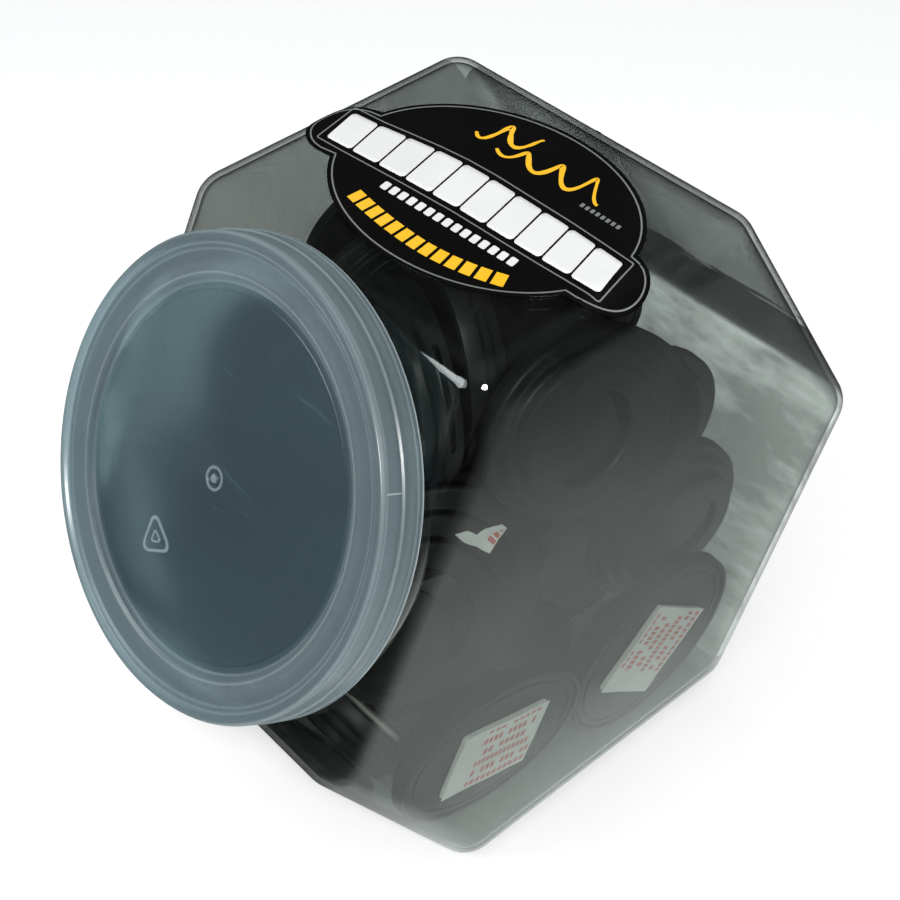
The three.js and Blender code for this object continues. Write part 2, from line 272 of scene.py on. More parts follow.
def fillet(before, corner, after, radius, reach, steps):
    """Arc that rounds a corner and takes at most the share `reach` of each side."""
    corner = Vector(corner)
    back = Vector(before) - corner
    ahead = Vector(after) - corner
    longest = min(back.length * reach, ahead.length * reach)
    back.normalize()
    ahead.normalize()
    half = math.acos(max(-1, min(1, back.dot(ahead)))) / 2
    trim = min(radius / math.tan(half), longest)
    arc_radius = trim * math.tan(half)
    centre = corner + (back + ahead).normalized() * (arc_radius / math.sin(half))
    start = corner + back * trim - centre
    end = corner + ahead * trim - centre
    start_angle, end_angle = math.atan2(start.y, start.x), math.atan2(end.y, end.x)
    return arc_points(centre, arc_radius, start_angle, end_angle, steps)


def round_profile(points, steps=4):
    """Rounds a lathe profile of (radius, height, fillet radius) points."""
    out = []
    for i, (radius, height, rounding) in enumerate(points):
        if rounding <= 0:
            out.append((radius, height))
        else:
            out += fillet(points[i - 1][:2], (radius, height), points[i + 1][:2],
                          rounding, 0.48, steps)
    return out


def divide(points, pieces):
    """Closed outline with each side cut in pieces(length) parts."""
    out = []
    for (x0, y0), (x1, y1) in zip(points, points[1:] + points[:1]):
        count = pieces(math.hypot(x1 - x0, y1 - y0))
        out += [(x0 + (x1 - x0) * k / count, y0 + (y1 - y0) * k / count) for k in range(count)]
    return out


def rounded_poly(points, radius, steps=5, run=1.6):
    """Polygon with rounded corners and long sides divided, so it drapes."""
    out = []
    for i, point in enumerate(points):
        after = points[(i + 1) % len(points)]
        out += fillet(points[i - 1], point, after, radius, 0.45, steps)
    return divide(out, lambda length: max(1, int(length / run)))


def offset_path(path, distances, closed):
    """Path moved to its right-hand side by a distance at each point."""
    out = []
    for i, (point, distance) in enumerate(zip(path, distances)):
        before = path[i - 1] if i > 0 or closed else point
        after = path[(i + 1) % len(path)] if i < len(path) - 1 or closed else point
        dx, dy = after[0] - before[0], after[1] - before[1]
        length = math.hypot(dx, dy) or 1
        out.append((point[0] + dy / length * distance, point[1] - dx / length * distance))
    return out


def mean_point(points):
    return tuple(sum(point[axis] for point in points) / len(points) for axis in range(2))


def smoothstep(low, high, value):
    share = max(0.0, min(1.0, (value - low) / (high - low)))
    return share * share * (3 - 2 * share)


def axes_matrix(x_axis, y_axis, z_axis, origin):
    """Matrix of a frame from its axes; the origin is in metres."""
    matrix = Matrix((x_axis, y_axis, z_axis)).transposed().to_4x4()
    matrix.translation = origin
    return matrix


ACROSS = Vector((1, 0, 0))
NECK_FRAME = axes_matrix(ACROSS, NECK_DIR.cross(ACROSS), NECK_DIR, NECK_CENTRE * MM)


# ------------------------------------------------------------------ shader builder
class Shader:
    """Builds the node tree of a material or a world."""

    def __init__(self, owner, output="OutputMaterial"):
        owner.use_nodes = True
        self.owner = owner
        self.tree = owner.node_tree
        self.tree.nodes.clear()
        self.output = self.node(output)

    def node(self, kind, props=None, **inputs):
        """New node; inputs go by name (_ for a space) or by number (i0, i1, ...)."""
        node = self.tree.nodes.new("ShaderNode" + kind)
        for key, value in (props or {}).items():
            setattr(node, key, value)
        for key, value in inputs.items():
            numbered = key[0] == "i" and key[1:].isdigit()
            self.set(node.inputs[int(key[1:]) if numbered else key.replace("_", " ")], value)
        return node

    def set(self, socket, value):
        if isinstance(value, bpy.types.NodeSocket):
            self.tree.links.new(value, socket)
        elif isinstance(value, bpy.types.Node):
            self.tree.links.new(value.outputs[0], socket)
        else:
            socket.default_value = value

    def math(self, operation, *values, clamp=False):
        node = self.node("Math", {"operation": operation, "use_clamp": clamp})
        for socket, value in zip(node.inputs, (*values, 0.0, 0.0)):
            self.set(socket, value)
        return node.outputs[0]

    def add(self, one, other, clamp=False):
        return self.math("ADD", one, other, clamp=clamp)

    def sub(self, one, other, clamp=False):
        return self.math("SUBTRACT", one, other, clamp=clamp)

    def mul(self, *values):
        return reduce(lambda one, other: self.math("MULTIPLY", one, other), values)

    def mul_add(self, value, factor, plus):
        return self.math("MULTIPLY_ADD", value, factor, plus)

    def largest(self, *values):
        return reduce(lambda one, other: self.math("MAXIMUM", one, other), values)

    def above(self, value, limit):
        return self.math("GREATER_THAN", value, limit)

    def below(self, value, limit):
        return self.math("LESS_THAN", value, limit)

    def between(self, value, low, high):
        return self.mul(self.above(value, low), self.below(value, high))

    def remap(self, value, span, to=(0.0, 1.0)):
        """Takes the span to another, clamped."""
        node = self.node("MapRange", {"clamp": True})
        for socket, number in zip(node.inputs, (value, *span, *to)):
            self.set(socket, number)
        return node.outputs[0]

    def ramp(self, value, stops):
        """Colour ramp; stops are (position, grey level or colour)."""
        node = self.node("ValToRGB")
        elements = node.color_ramp.elements
        while len(elements) < len(stops):
            elements.new(0.5)
        for element, (position, colour) in zip(elements, stops):
            element.position = position
            element.color = (*colour, 1) if isinstance(colour, tuple) else (*(colour,) * 3, 1)
        self.set(node.inputs[0], value)
        return node.outputs["Color"]

    def mix(self, factor, one, other, blend="MIX"):
        props = {"data_type": "RGBA", "blend_type": blend}
        return self.node("Mix", props, Factor=factor, i6=one, i7=other).outputs[2]

    def mix_shader(self, factor, one, other):
        return self.node("MixShader", i0=factor, i1=one, i2=other).outputs[0]

    def noise(self, vector, scale, detail=3.0, roughness=0.5):
        return self.node("TexNoise", Vector=vector, Scale=scale, Detail=detail,
                         Roughness=roughness).outputs["Fac"]

    def mapping(self, vector, rotation, scale):
        return self.node("Mapping", Vector=vector, Rotation=rotation, Scale=scale).outputs[0]

    def scratches(self, vector, scale=60.0, stretch=(1.0, 14.0, 3.0), cut=0.66):
        """Sparse hair-line scratches: stretched noise, kept only at its crests."""
        mapped = self.mapping(vector, rotation=(0.3, 0.5, 0.7), scale=stretch)
        noise = self.noise(mapped, scale, detail=2.0, roughness=0.6)
        return self.remap(noise, span=(cut, cut + 0.04))

    def object_space(self):
        return self.node("TexCoord").outputs["Object"]

    def position(self):
        return self.node("NewGeometry").outputs["Position"]

    def split(self, vector):
        return self.node("SeparateXYZ", Vector=vector).outputs

    def bump(self, height, strength, distance):
        return self.node("Bump", Height=height, Strength=strength,
                         Distance=distance).outputs["Normal"]

    def slant(self, normal, incoming):
        """0 where the surface is seen square on, 1 at grazing."""
        dot = self.node("VectorMath", {"operation": "DOT_PRODUCT"}, i0=normal, i1=incoming)
        facing = self.math("ABSOLUTE", dot.outputs["Value"])
        return self.sub(1.0, facing, clamp=True)

    def reflectance(self, slant, gain, square_on):
        """Schlick's curve."""
        return self.mul_add(self.math("POWER", slant, 5.0), gain, square_on)

    def principled(self, **inputs):
        return self.finish(self.node("BsdfPrincipled", **inputs).outputs[0])

    def finish(self, surface):
        self.set(self.output.inputs["Surface"], surface)
        return self.owner


def new_material(name):
    return Shader(bpy.data.materials.new(name))


# ------------------------------------------------------------------ jar material
SHELL_TINT = (0.790, 0.815, 0.800)
# (slant, share of the tint): the tint deepens where the wall is seen at a slant
SHELL_TINT_STOPS = ((0.0, 1.0), (0.55, 0.93), (0.80, 0.60), (0.93, 0.22), (1.0, 0.06))
# painted shade: brightness seen through the upper +Y face along X: (share of the way from -60 to 60
# mm, level)
UPPER_FACE_SHADE_STOPS = (
    (0.04, 0.24), (0.125, 0.66), (0.20, 0.85), (0.267, 0.83), (0.342, 0.70),
    (0.392, 0.68), (0.442, 0.52), (0.517, 0.62), (0.60, 0.96), (1.0, 0.90))


def far_wall_painted_shade(mat, position):
    """Painted shade on what is seen through the far walls: how much light they pass, with streaky,
    ragged borders.
    """
    drawn = mat.mapping(position, rotation=(0.5, 0.3, 0.6), scale=(0.35, 3.2, 1.1))
    shade_streaks = mat.noise(drawn, scale=46.0, detail=5.0, roughness=0.62)
    slow = mat.noise(position, scale=13.0, detail=1.5, roughness=0.5)
    mixed = mat.mul_add(shade_streaks, 0.34, slow)
    ragged = mat.noise(drawn, scale=120.0, detail=4.0, roughness=0.65)
    parts = mat.split(position)
    x, y, z = (mat.mul(parts[axis], 1000.0) for axis in "XYZ")      # millimetres

    # upper +Y face: painted shade, lighter above, a darker band below a ragged border
    ragged_z = mat.add(z, mat.remap(ragged, span=(0.3, 0.7), to=(-8.0, 8.0)))
    along = mat.ramp(mat.remap(x, span=(-60.0, 60.0)), UPPER_FACE_SHADE_STOPS)
    high = mat.mul(along, 2.1, mat.remap(z, span=(154.0, 164.0), to=(1.0, 0.52)))
    border = (117.5, 120.0)
    band = mat.add(mat.mul(mat.remap(ragged_z, span=border, to=(1.0, 0.0)), 0.30),
                   mat.mul(mat.remap(ragged_z, span=border), high))
    upper = mat.mul(band, mat.remap(slow, span=(0.35, 0.65), to=(0.88, 1.12)))

    # lower +Y face: painted shade in stretched streaks
    lower_streak_space = mat.mapping(position, rotation=(0.0, 0.0, 0.35), scale=(0.8, 1.0, 2.6))
    lower_shade_streaks = mat.noise(lower_streak_space, scale=26.0, detail=4.0, roughness=0.6)
    lower = mat.mul(
        mat.remap(x, span=(-20.0, 36.0), to=(0.84, 1.17)),
        mat.remap(z, span=(12.0, 58.0), to=(0.90, 1.0)),
        mat.remap(mat.mul_add(shade_streaks, 0.20, lower_shade_streaks), span=(0.48, 0.66), to=(0.70, 1.45)))
    plus_y = mat.mix(mat.remap(z, span=(83.0, 85.0)), lower, upper)

    # -X end: painted shade, darker all over, deepest low down
    shade = mat.largest(mat.remap(z, span=(84.0, 106.0), to=(0.10, 0.47)),
                        mat.remap(y, span=(-62.0, -72.0), to=(0.0, 0.50)))
    minus_x = mat.mul(shade, mat.remap(mixed, span=(0.52, 0.78), to=(0.85, 1.2)))

    rest = mat.remap(mixed, span=(0.50, 0.78), to=(0.62, 1.0))
    levels = mat.mix(mat.above(y, 52.0), rest, plus_y)
    return mat.mix(mat.below(x, -55.0), levels, minus_x)


def shell_material(name, inner):
    """One face of the clear blown PVC wall; every ray goes straight through."""
    mat = new_material(name)
    geometry = mat.node("NewGeometry")
    position = geometry.outputs["Position"]
    wave = mat.noise(position, scale=16.0, detail=1.5, roughness=0.4)
    normal = mat.bump(wave, strength=0.22 if inner else 0.30, distance=0.003)
    slant = mat.slant(normal, geometry.outputs["Incoming"])
    mirror = mat.reflectance(slant, gain=0.955, square_on=0.045)
    tint = mat.ramp(slant, [(place, tuple(c * share for c in SHELL_TINT))
                            for place, share in SHELL_TINT_STOPS])
    if not inner:
        # the far walls are met from behind, by rays leaving the jar; there the tint carries painted
        # shade
        path = mat.node("LightPath").outputs
        seen = mat.largest(path["Is Camera Ray"], path["Is Transmission Ray"])
        leaving = mat.mul(geometry.outputs["Backfacing"], seen)
        # far: the tint with the painted shade multiplied in
        far = mat.mix(1.0, tint, far_wall_painted_shade(mat, position), blend="MULTIPLY")
        tint = mat.mix(leaving, tint, far)
    smear = mat.remap(mat.noise(position, scale=34.0, detail=4.0, roughness=0.6),
                      span=(0.45, 0.8))
    roughness = mat.mul_add(smear, 0.03, 0.012)
    gloss = mat.node("BsdfGlossy", {"distribution": "GGX"}, Color=(0.97, 1.0, 0.985, 1),
                     Roughness=roughness, Normal=normal)
    clear = mat.node("BsdfTransparent", Color=tint)
    body = mat.mix_shader(mirror, clear, gloss)
    if inner:
        return mat.finish(body)
    # light rubbing marks and dust on the outside
    scuffs = mat.largest(
        mat.scratches(position, scale=30.0, stretch=(1.0, 14.0, 3.0), cut=0.735),
        mat.scratches(position, scale=50.0, stretch=(12.0, 1.0, 4.0), cut=0.735))
    worn = mat.remap(mat.noise(position, scale=11.0, detail=2.0),
                     span=(0.45, 0.72), to=(0.0, 0.09))
    marks = mat.add(mat.mul(scuffs, worn), mat.mul(smear, 0.006))
    haze = mat.mul(marks, mat.remap(slant, span=(0.45, 0.85), to=(1.0, 0.15)))
    dust = mat.node("BsdfDiffuse", Color=(0.72, 0.74, 0.73, 1), Roughness=1.0)
    return mat.finish(mat.mix_shader(haze, body, dust))


# ------------------------------------------------------------------ lid material
# painted highlights, pale lines on the lid's top rings and skirt bands: (radius or height in mm, half
# width, strength)
LID_HIGHLIGHT_RINGS = ((47.3, 0.45, 0.30), (49.3, 0.6, 0.38), (51.0, 1.8, 0.08), (54.9, 0.5, 0.26),
             (56.3, 0.5, 0.34), (58.9, 0.6, 0.50))
LID_HIGHLIGHT_BANDS = ((9.7, 0.5, 0.55), (14.6, 0.7, 0.45), (12.0, 1.6, 0.14), (7.0, 1.8, 0.16),
             (3.7, 0.6, 1.0), (5.2, 0.35, 0.45))


def highlight_lines(mat, value, lines):
    return mat.largest(*[
        mat.mul(mat.remap(mat.math("ABSOLUTE", mat.sub(value, place)),
                          span=(0.0, half_width), to=(1.0, 0.0)), strength)
        for place, half_width, strength in lines])


def lid_material(name):
    """Milky LDPE: rough see-through film in the panel, denser where the moulding is thick, with
    painted highlights along the edges.
    """
    mat = new_material(name)
    coords = mat.object_space()
    dense = mat.node("Attribute", {"attribute_name": "dense"}).outputs["Fac"]
    edge = mat.node("Attribute", {"attribute_name": "edge"}).outputs["Fac"]
    parts = mat.split(coords)
    squares = mat.add(mat.mul(parts["X"], parts["X"]), mat.mul(parts["Y"], parts["Y"]))
    radius = mat.mul(mat.math("SQRT", squares), 1000.0)      # millimetres
    height = mat.mul(parts["Z"], 1000.0)
    # painted highlights: pale rings on the top and pale bands round the skirt, joined to the painted
    # edge highlights
    rings = mat.mul(highlight_lines(mat, radius, LID_HIGHLIGHT_RINGS), mat.above(height, 12.6))
    skirt_highlights = mat.mul(highlight_lines(mat, height, LID_HIGHLIGHT_BANDS), mat.above(radius, 58.9))
    edge = mat.largest(edge, mat.largest(rings, skirt_highlights))

    swirl = mat.noise(coords, scale=22.0, detail=3.0, roughness=0.55)
    grain = mat.noise(coords, scale=500.0, detail=2.0, roughness=0.5)
    scratch = mat.scratches(coords, scale=55.0, stretch=(1.0, 10.0, 1.0))
    relief = mat.add(mat.mul(grain, 0.012), mat.mul(scratch, -0.04))
    normal = mat.bump(mat.mul_add(swirl, 0.6, relief), strength=0.22, distance=0.0008)

    milk_colour = mat.mix(dense, (0.34, 0.58, 0.68, 1), (0.43, 0.57, 0.62, 1))
    # edges turn pale: painted highlight
    milk_colour = mat.mix(mat.mul(edge, 0.8), milk_colour, (0.86, 0.93, 0.95, 1))
    film_colour = mat.mix(dense, (0.66, 0.79, 0.80, 1), (0.50, 0.60, 0.62, 1))
    film = mat.node("BsdfRefraction", {"distribution": "BECKMANN"}, Color=film_colour,
                    Roughness=0.48, IOR=1.10, Normal=normal)
    clear = mat.node("BsdfTransparent", Color=film_colour)
    see_through = mat.mix_shader(0.07, film, clear)
    lit_front = mat.node("BsdfDiffuse", Color=milk_colour, Roughness=1.0, Normal=normal)
    lit_back = mat.node("BsdfTranslucent", Color=milk_colour, Normal=normal)
    milk = mat.mix_shader(0.38, lit_front, lit_back)

    # share of milk: a thin base, more in thick parts, more along edges as a painted highlight, uneven
    # with the swirl
    share = mat.add(mat.mul_add(dense, 0.16, 0.062), mat.mul(edge, 0.30), clamp=True)
    share = mat.mul(share, mat.remap(swirl, span=(0.3, 0.7), to=(0.90, 1.10)))
    share = mat.add(share, mat.mul(scratch, 0.04), clamp=True)
    core = mat.mix_shader(share, see_through, milk)
    slant = mat.slant(normal, mat.node("NewGeometry").outputs["Incoming"])
    mirror = mat.reflectance(slant, gain=0.5, square_on=0.04)
    gloss = mat.node("BsdfGlossy", Color=(1, 1, 1, 1), Normal=normal,
                     Roughness=mat.remap(grain, span=(0.2, 0.8), to=(0.26, 0.32)))
    return mat.finish(mat.mix_shader(mirror, core, gloss))


# ------------------------------------------------------------------ other materials
def abs_material(name, base=(0.0105, 0.011, 0.011), roughness=0.38):
    """Moulded black ABS with a fine satin texture, pale clouding and rub marks."""
    mat = new_material(name)
    coords = mat.object_space()
    grain = mat.noise(coords, scale=2600.0, detail=2.0, roughness=0.6)
    cloud = mat.noise(coords, scale=70.0, detail=4.0, roughness=0.6)
    scratch = mat.scratches(coords, scale=120.0, stretch=(1.0, 12.0, 5.0))
    per_object = mat.node("ObjectInfo").outputs["Random"]
    light = tuple(c * 2.6 + 0.006 for c in base)
    clouding = mat.remap(cloud, span=(0.35, 0.75), to=(0.0, 0.55))
    colour = mat.mix(clouding, (*base, 1), (*light, 1))
    colour = mat.mix(mat.mul(scratch, 0.35), colour, (0.06, 0.06, 0.06, 1))
    uneven = mat.remap(cloud, span=(0.3, 0.7), to=(roughness - 0.05, roughness + 0.08))
    relief = mat.add(mat.mul(grain, 0.5), mat.mul(scratch, -0.8))
    return mat.principled(
        Base_Color=colour, Roughness=mat.add(uneven, mat.mul(per_object, 0.05)),
        Normal=mat.bump(relief, strength=0.17, distance=0.00006),
        IOR=1.50, Specular_IOR_Level=0.30)


def label_material(name, base, roughness=0.22, variation=0.02):
    """Printed vinyl film: even ink, a slight orange-peel gloss and faint rub marks."""
    mat = new_material(name)
    coords = mat.position()
    peel = mat.noise(coords, scale=420.0, detail=2.0, roughness=0.5)
    cloud = mat.noise(coords, scale=40.0, detail=3.0, roughness=0.6)
    scratch = mat.scratches(coords, scale=80.0, stretch=(2.0, 9.0, 1.0))
    light = tuple(min(1, c * (1 + variation * 4) + variation) for c in base)
    colour = mat.mix(mat.remap(cloud, span=(0.3, 0.75)), (*base, 1), (*light, 1))
    relief = mat.mul_add(scratch, -0.25, peel)
    uneven = mat.remap(cloud, span=(0.3, 0.7), to=(roughness, roughness + 0.08))
    return mat.principled(
        Base_Color=colour, Roughness=mat.add(uneven, mat.mul(scratch, 0.12)),
        Normal=mat.bump(relief, strength=0.06, distance=0.0002),
        IOR=1.45, Specular_IOR_Level=0.42)


def foam_material(name):
    """White closed-cell foam tape with a pattern of small cells."""
    mat = new_material(name)
    coords = mat.object_space()
    cells = mat.node("TexVoronoi", {"feature": "F1"}, Vector=coords,
                     Scale=2400.0).outputs["Distance"]
    cloud = mat.noise(coords, scale=90.0, detail=3.0)
    colour = mat.mix(mat.remap(cloud, span=(0.3, 0.7)),
                     (0.66, 0.67, 0.65, 1), (0.80, 0.80, 0.77, 1))
    colour = mat.mix(mat.remap(cells, span=(0.0, 0.35), to=(0.35, 0.0)),
                     colour, (0.42, 0.42, 0.40, 1))
    return mat.principled(Base_Color=colour, Roughness=0.9, IOR=1.3,
                          Normal=mat.bump(cells, strength=0.5, distance=0.00015))


def cells_of(mat, value, shift):
    """Number of the unit cell a value falls in, and its place within the cell."""
    return (mat.math("FLOOR", mat.add(value, shift)), mat.math("FRACT", mat.add(value, shift)))


def liner_material(name):
    """Release paper of the adhesive pad: fibre, creases and rows of red printed dashes."""
    row_pitch = 4.3                                 # mm
    narrowest_dash, dash_spread = 1.6, 0.7          # mm; the pitch along X varies by row
    print_centre_x, print_half = 0.0035, 0.0112     # metres, the printed square
    mat = new_material(name)
    coords = mat.object_space()
    parts = mat.split(coords)
    x, y = parts["X"], parts["Y"]
    fibre = mat.noise(coords, scale=1500.0, detail=3.0, roughness=0.7)
    crease = mat.noise(coords, scale=60.0, detail=3.0, roughness=0.6)

    row, row_place = cells_of(mat, mat.mul(y, 1000.0 / row_pitch), shift=100.15)
    scatter = mat.math("FRACT", mat.mul(row, 0.37))
    dash_pitch = mat.mul_add(scatter, dash_spread, narrowest_dash)
    column, column_place = cells_of(
        mat, mat.math("DIVIDE", mat.mul(x, 1000.0), dash_pitch), shift=60.0)
    cell = mat.node("CombineXYZ", i0=column, i1=row)
    chance = mat.node("TexWhiteNoise", {"noise_dimensions": "2D"},
                      Vector=cell.outputs[0]).outputs["Value"]
    inside = mat.mul(
        mat.below(mat.math("ABSOLUTE", mat.sub(x, print_centre_x)), print_half),
        mat.below(mat.math("ABSOLUTE", y), print_half))
    ink = mat.mul(
        mat.between(row_place, 0.28, 0.82),
        mat.between(column_place, 0.16, 0.86),
        mat.above(chance, 0.20),                    # one dash in five is left out
        inside,
        mat.remap(fibre, span=(0.25, 0.6), to=(0.62, 0.92)))

    paper = mat.mix(mat.remap(crease, span=(0.3, 0.7)),
                    (0.78, 0.79, 0.78, 1), (0.88, 0.885, 0.87, 1))
    colour = mat.mix(ink, paper, (0.72, 0.10, 0.08, 1))
    relief = mat.add(mat.mul(crease, 1.0), mat.mul(fibre, 0.05))
    return mat.principled(Base_Color=colour, Roughness=0.48, IOR=1.4,
                          Normal=mat.bump(relief, strength=0.35, distance=0.0006))


def steel_material(name):
    mat = new_material(name)
    drawn = mat.noise(mat.object_space(), scale=900.0, detail=2.0, roughness=0.6)
    return mat.principled(
        Base_Color=mat.mix(drawn, (0.50, 0.51, 0.52, 1), (0.66, 0.66, 0.67, 1)), Metallic=1.0,
        Roughness=mat.remap(drawn, span=(0.2, 0.8), to=(0.22, 0.36)),
        Normal=mat.bump(drawn, strength=0.2, distance=0.00005))


# painted reflection of the floor, a glow seen only by mirrored rays: (share of the way from x = 0 to
# 0.5 m, level)
GLOW_ALONG_X = (
    (0.0, 0.05), (0.09, 0.35), (0.125, 0.66), (0.145, 0.52), (0.165, 0.35), (0.19, 0.38),
    (0.215, 0.40), (0.25, 0.385), (0.28, 0.32), (0.33, 0.235), (0.37, 0.165), (0.46, 0.11),
    (1.0, 0.02))
# (share of the way from y = -0.2 to 0.3 m, level)
GLOW_ALONG_Y = (
    (0.0, 0.03), (0.10, 0.08), (0.20, 0.36), (0.27, 0.80), (0.32, 0.90), (0.40, 0.93),
    (0.49, 0.80), (0.54, 0.76), (0.60, 0.62), (0.64, 0.56), (0.80, 0.36), (1.0, 0.08))


def floor_material(name):
    """Pale matt board. Reflections see a painted reflection on it: a glowing patch beside the +X end,
    dark further out.
    """
    mat = new_material(name)
    position = mat.position()
    fibre = mat.noise(position, scale=260.0, detail=3.0, roughness=0.6)
    board = mat.node(
        "BsdfPrincipled", Roughness=0.85, IOR=1.3,
        Base_Color=mat.mix(fibre, (0.93, 0.93, 0.93, 1), (0.96, 0.96, 0.96, 1)),
        Normal=mat.bump(fibre, strength=0.05, distance=0.0003))
    parts = mat.split(position)
    along_x = mat.ramp(mat.remap(parts["X"], span=(0.0, 0.5)), GLOW_ALONG_X)
    along_y = mat.ramp(mat.remap(parts["Y"], span=(-0.20, 0.30)), GLOW_ALONG_Y)
    # painted reflection: an emission that only mirrored rays see
    painted_reflection_glow = mat.node("Emission", Color=(0.97, 1.0, 0.99, 1),
                     Strength=mat.mul(along_x, along_y, 2.6))
    path = mat.node("LightPath").outputs
    mirrored = mat.mul(path["Is Glossy Ray"], mat.sub(1.0, path["Is Transmission Ray"]))
    return mat.finish(mat.mix_shader(mirrored, board, painted_reflection_glow))


SHELL_OUTSIDE = shell_material("clear_shell_outside", inner=False)
SHELL_INSIDE = shell_material("clear_shell_inside", inner=True)
LID_PLASTIC = lid_material("milky_ldpe")
LABEL_BLACK = label_material("label_black", (0.0022, 0.0022, 0.0020),
                             roughness=0.14, variation=0.0008)
LABEL_WHITE = label_material("label_white", (0.64, 0.65, 0.64))
LABEL_GREY = label_material("label_grey", (0.15, 0.165, 0.155))
LABEL_YELLOW = label_material("label_yellow", (0.78, 0.42, 0.012))
BLACK_ABS = abs_material("black_abs")
PUSHER_ABS = abs_material("pusher_abs", base=(0.014, 0.014, 0.0145), roughness=0.40)
PAD_FOAM = foam_material("pad_foam_white")
LINER_PAPER = liner_material("liner_paper_printed")
SPRING_STEEL = steel_material("spring_wire")
SCRAP_BACK = label_material("scrap_back", (0.74, 0.76, 0.74), roughness=0.5)

# ------------------------------------------------------------------ pick holders
# outside, from the foot of the rim to the crown; rows as in ovals()
RIM_ROWS = (
    (-0.45, -0.45, 0, 0.0), (-0.12, -0.12, 0, 0.16), (0, 0, 0, 0.5), (-0.02, -0.02, 0, 3.9),
    (-0.14, -0.14, 0, 4.35), (-0.50, -0.50, 0, 4.78), (-1.00, -1.00, -0.02, 4.98),
    (-1.6, -1.5, -0.1, 5.06))
MIDDLE_ROWS = (
    (1.2, 1.0, 0.2, 5.26), (0.5, 0.45, 0, 5.42), (0.12, 0.12, 0, 5.80), (0, 0, 0, 6.3),
    (-0.10, -0.10, 0, 7.3), (-0.30, -0.30, 0, 7.8), (-0.72, -0.72, 0, 8.14),
    (-1.3, -1.25, -0.05, 8.26))
TOP_ROWS = (
    (1.3, 0.9, 0.25, 8.42), (0.5, 0.45, 0, 8.58), (0.12, 0.12, 0, 8.95), (0, 0, 0, 9.4),
    (-0.12, -0.12, 0, 11.0), (-0.34, -0.34, 0, 11.5), (-0.85, -0.85, 0, 11.86),
    (-1.7, -1.7, 0, 12.02), (-4.5, -4.5, 0, 12.14), (-9.0, -8.6, 0, 12.20),
    (-15.0, -13.8, 0, 12.22))
# hollow of the cover, from its mouth up, about the tiers less the skin
RIM_HOLLOW_ROWS = ((0.15, 0.15, 0, 0.0), (0, 0, 0, 0.2), (0, 0, 0, 3.5), (-0.4, -0.4, 0, 3.7))
TOP_HOLLOW_ROWS = ((0.3, 0.3, 0, 3.75), (0, 0, 0, 4.1), (0, 0, 0, 10.5), (-0.5, -0.5, 0, 10.7))
# underside of the base plate, from its edge in: a groove follows the rim, then a flat field
UNDERSIDE_ROWS = (
    (0, 0, 0, 0.75), (-0.15, -0.15, 0, 0.6), (-1.7, -1.7, 0, 0.6), (-1.9, -1.9, 0, 0.72),
    (-1.95, -1.95, 0, 1.15), (-2.65, -2.65, 0, 1.15), (-2.7, -2.7, 0, 0.72),
    (-2.9, -2.9, 0, 0.6), (-6.0, -5.5, 0, 0.6), (-20.0, -16.5, 0, 0.6))
BASE_TOP_ROWS = ((-20.0, -16.5, 0, 2.0), (-0.3, -0.3, 0, 2.0), (0, 0, 0, 1.8))
# joint between base plate and rim in a closed holder
JOINT_ROWS = ((0, 0, 0, 1.5), (0, 0, 0, 0.25), (0.2, 0.2, 0, 0.0))


def inside(tier):
    half_length, half_width, centre_x = tier
    return half_length - SKIN, half_width - SKIN, centre_x


def holder_outside():
    return (ovals(RIM, RIM_ROWS) + ovals(MIDDLE_TIER, MIDDLE_ROWS)
            + ovals(TOP_TIER, TOP_ROWS))


def crescent_cutter(floor_z):
    """The thumb opening: a disc less a shifted oval, flared at the mouth."""
    disc_r = 13.0
    bite_a, bite_b, bite_x = 12.2, 12.6, -10.5
    steps = 120
    disc, bite = [], []
    for k in range(steps):
        angle = -math.pi + 2 * math.pi * k / steps
        x, y = TIER_X + disc_r * math.cos(angle), disc_r * math.sin(angle)
        if ((x - bite_x) / bite_a) ** 2 + (y / bite_b) ** 2 > 1.0:
            disc.append((x, y))
        angle = math.pi - 2 * math.pi * k / steps
        x, y = bite_x + bite_a * math.cos(angle), bite_b * math.sin(angle)
        if (x - TIER_X) ** 2 + y ** 2 < disc_r * disc_r and x > bite_x:
            bite.append((x, y))
    disc.sort(key=lambda point: math.atan2(point[1], point[0] - TIER_X))
    bite.sort(key=lambda point: -point[1])
    outline = disc + bite
    levels = ((0, floor_z), (0, 11.55), (0.12, 11.85), (0.45, 12.12), (0.9, 12.6))  # grow, z
    rings = [[(x, y, z) for x, y in offset_path(outline, [grow] * len(outline), closed=True)]
             for grow, z in levels]
    return solid("crescent_cutter", loft(rings, "polygon"))


def slot_cutter(depth):
    """Mouth for the picks in the +X end of the rim, rounded at its sides."""
    half_width, half_height, middle_z = 13.5, 0.8, 3.0
    outline = []
    for side, start in ((1, -math.pi / 2), (-1, math.pi / 2)):
        for k in range(9):
            angle = start + math.pi * k / 8
            outline.append((side * (half_width - half_height) + half_height * math.cos(angle),
                            middle_z + half_height * math.sin(angle)))
    rows = [[(x, y, z) for y, z in outline] for x in (RIM[0] + 1 - depth, RIM[0] + 4)]
    return solid("slot_cutter", loft(rows, "polygon"))


def holder_cuts(opening_floor, slot_depth):
    return [("DIFFERENCE", crescent_cutter(opening_floor)),
            ("DIFFERENCE", slot_cutter(slot_depth))]


def cover_mesh():
    """Hollow case of a full holder, open underneath."""
    hollow = ovals(inside(RIM), RIM_HOLLOW_ROWS) + ovals(inside(TOP_TIER), TOP_HOLLOW_ROWS)
    return carved_mesh("cover_fine", loft(hollow[::-1] + holder_outside()),
                       holder_cuts(opening_floor=4.0, slot_depth=10.0))


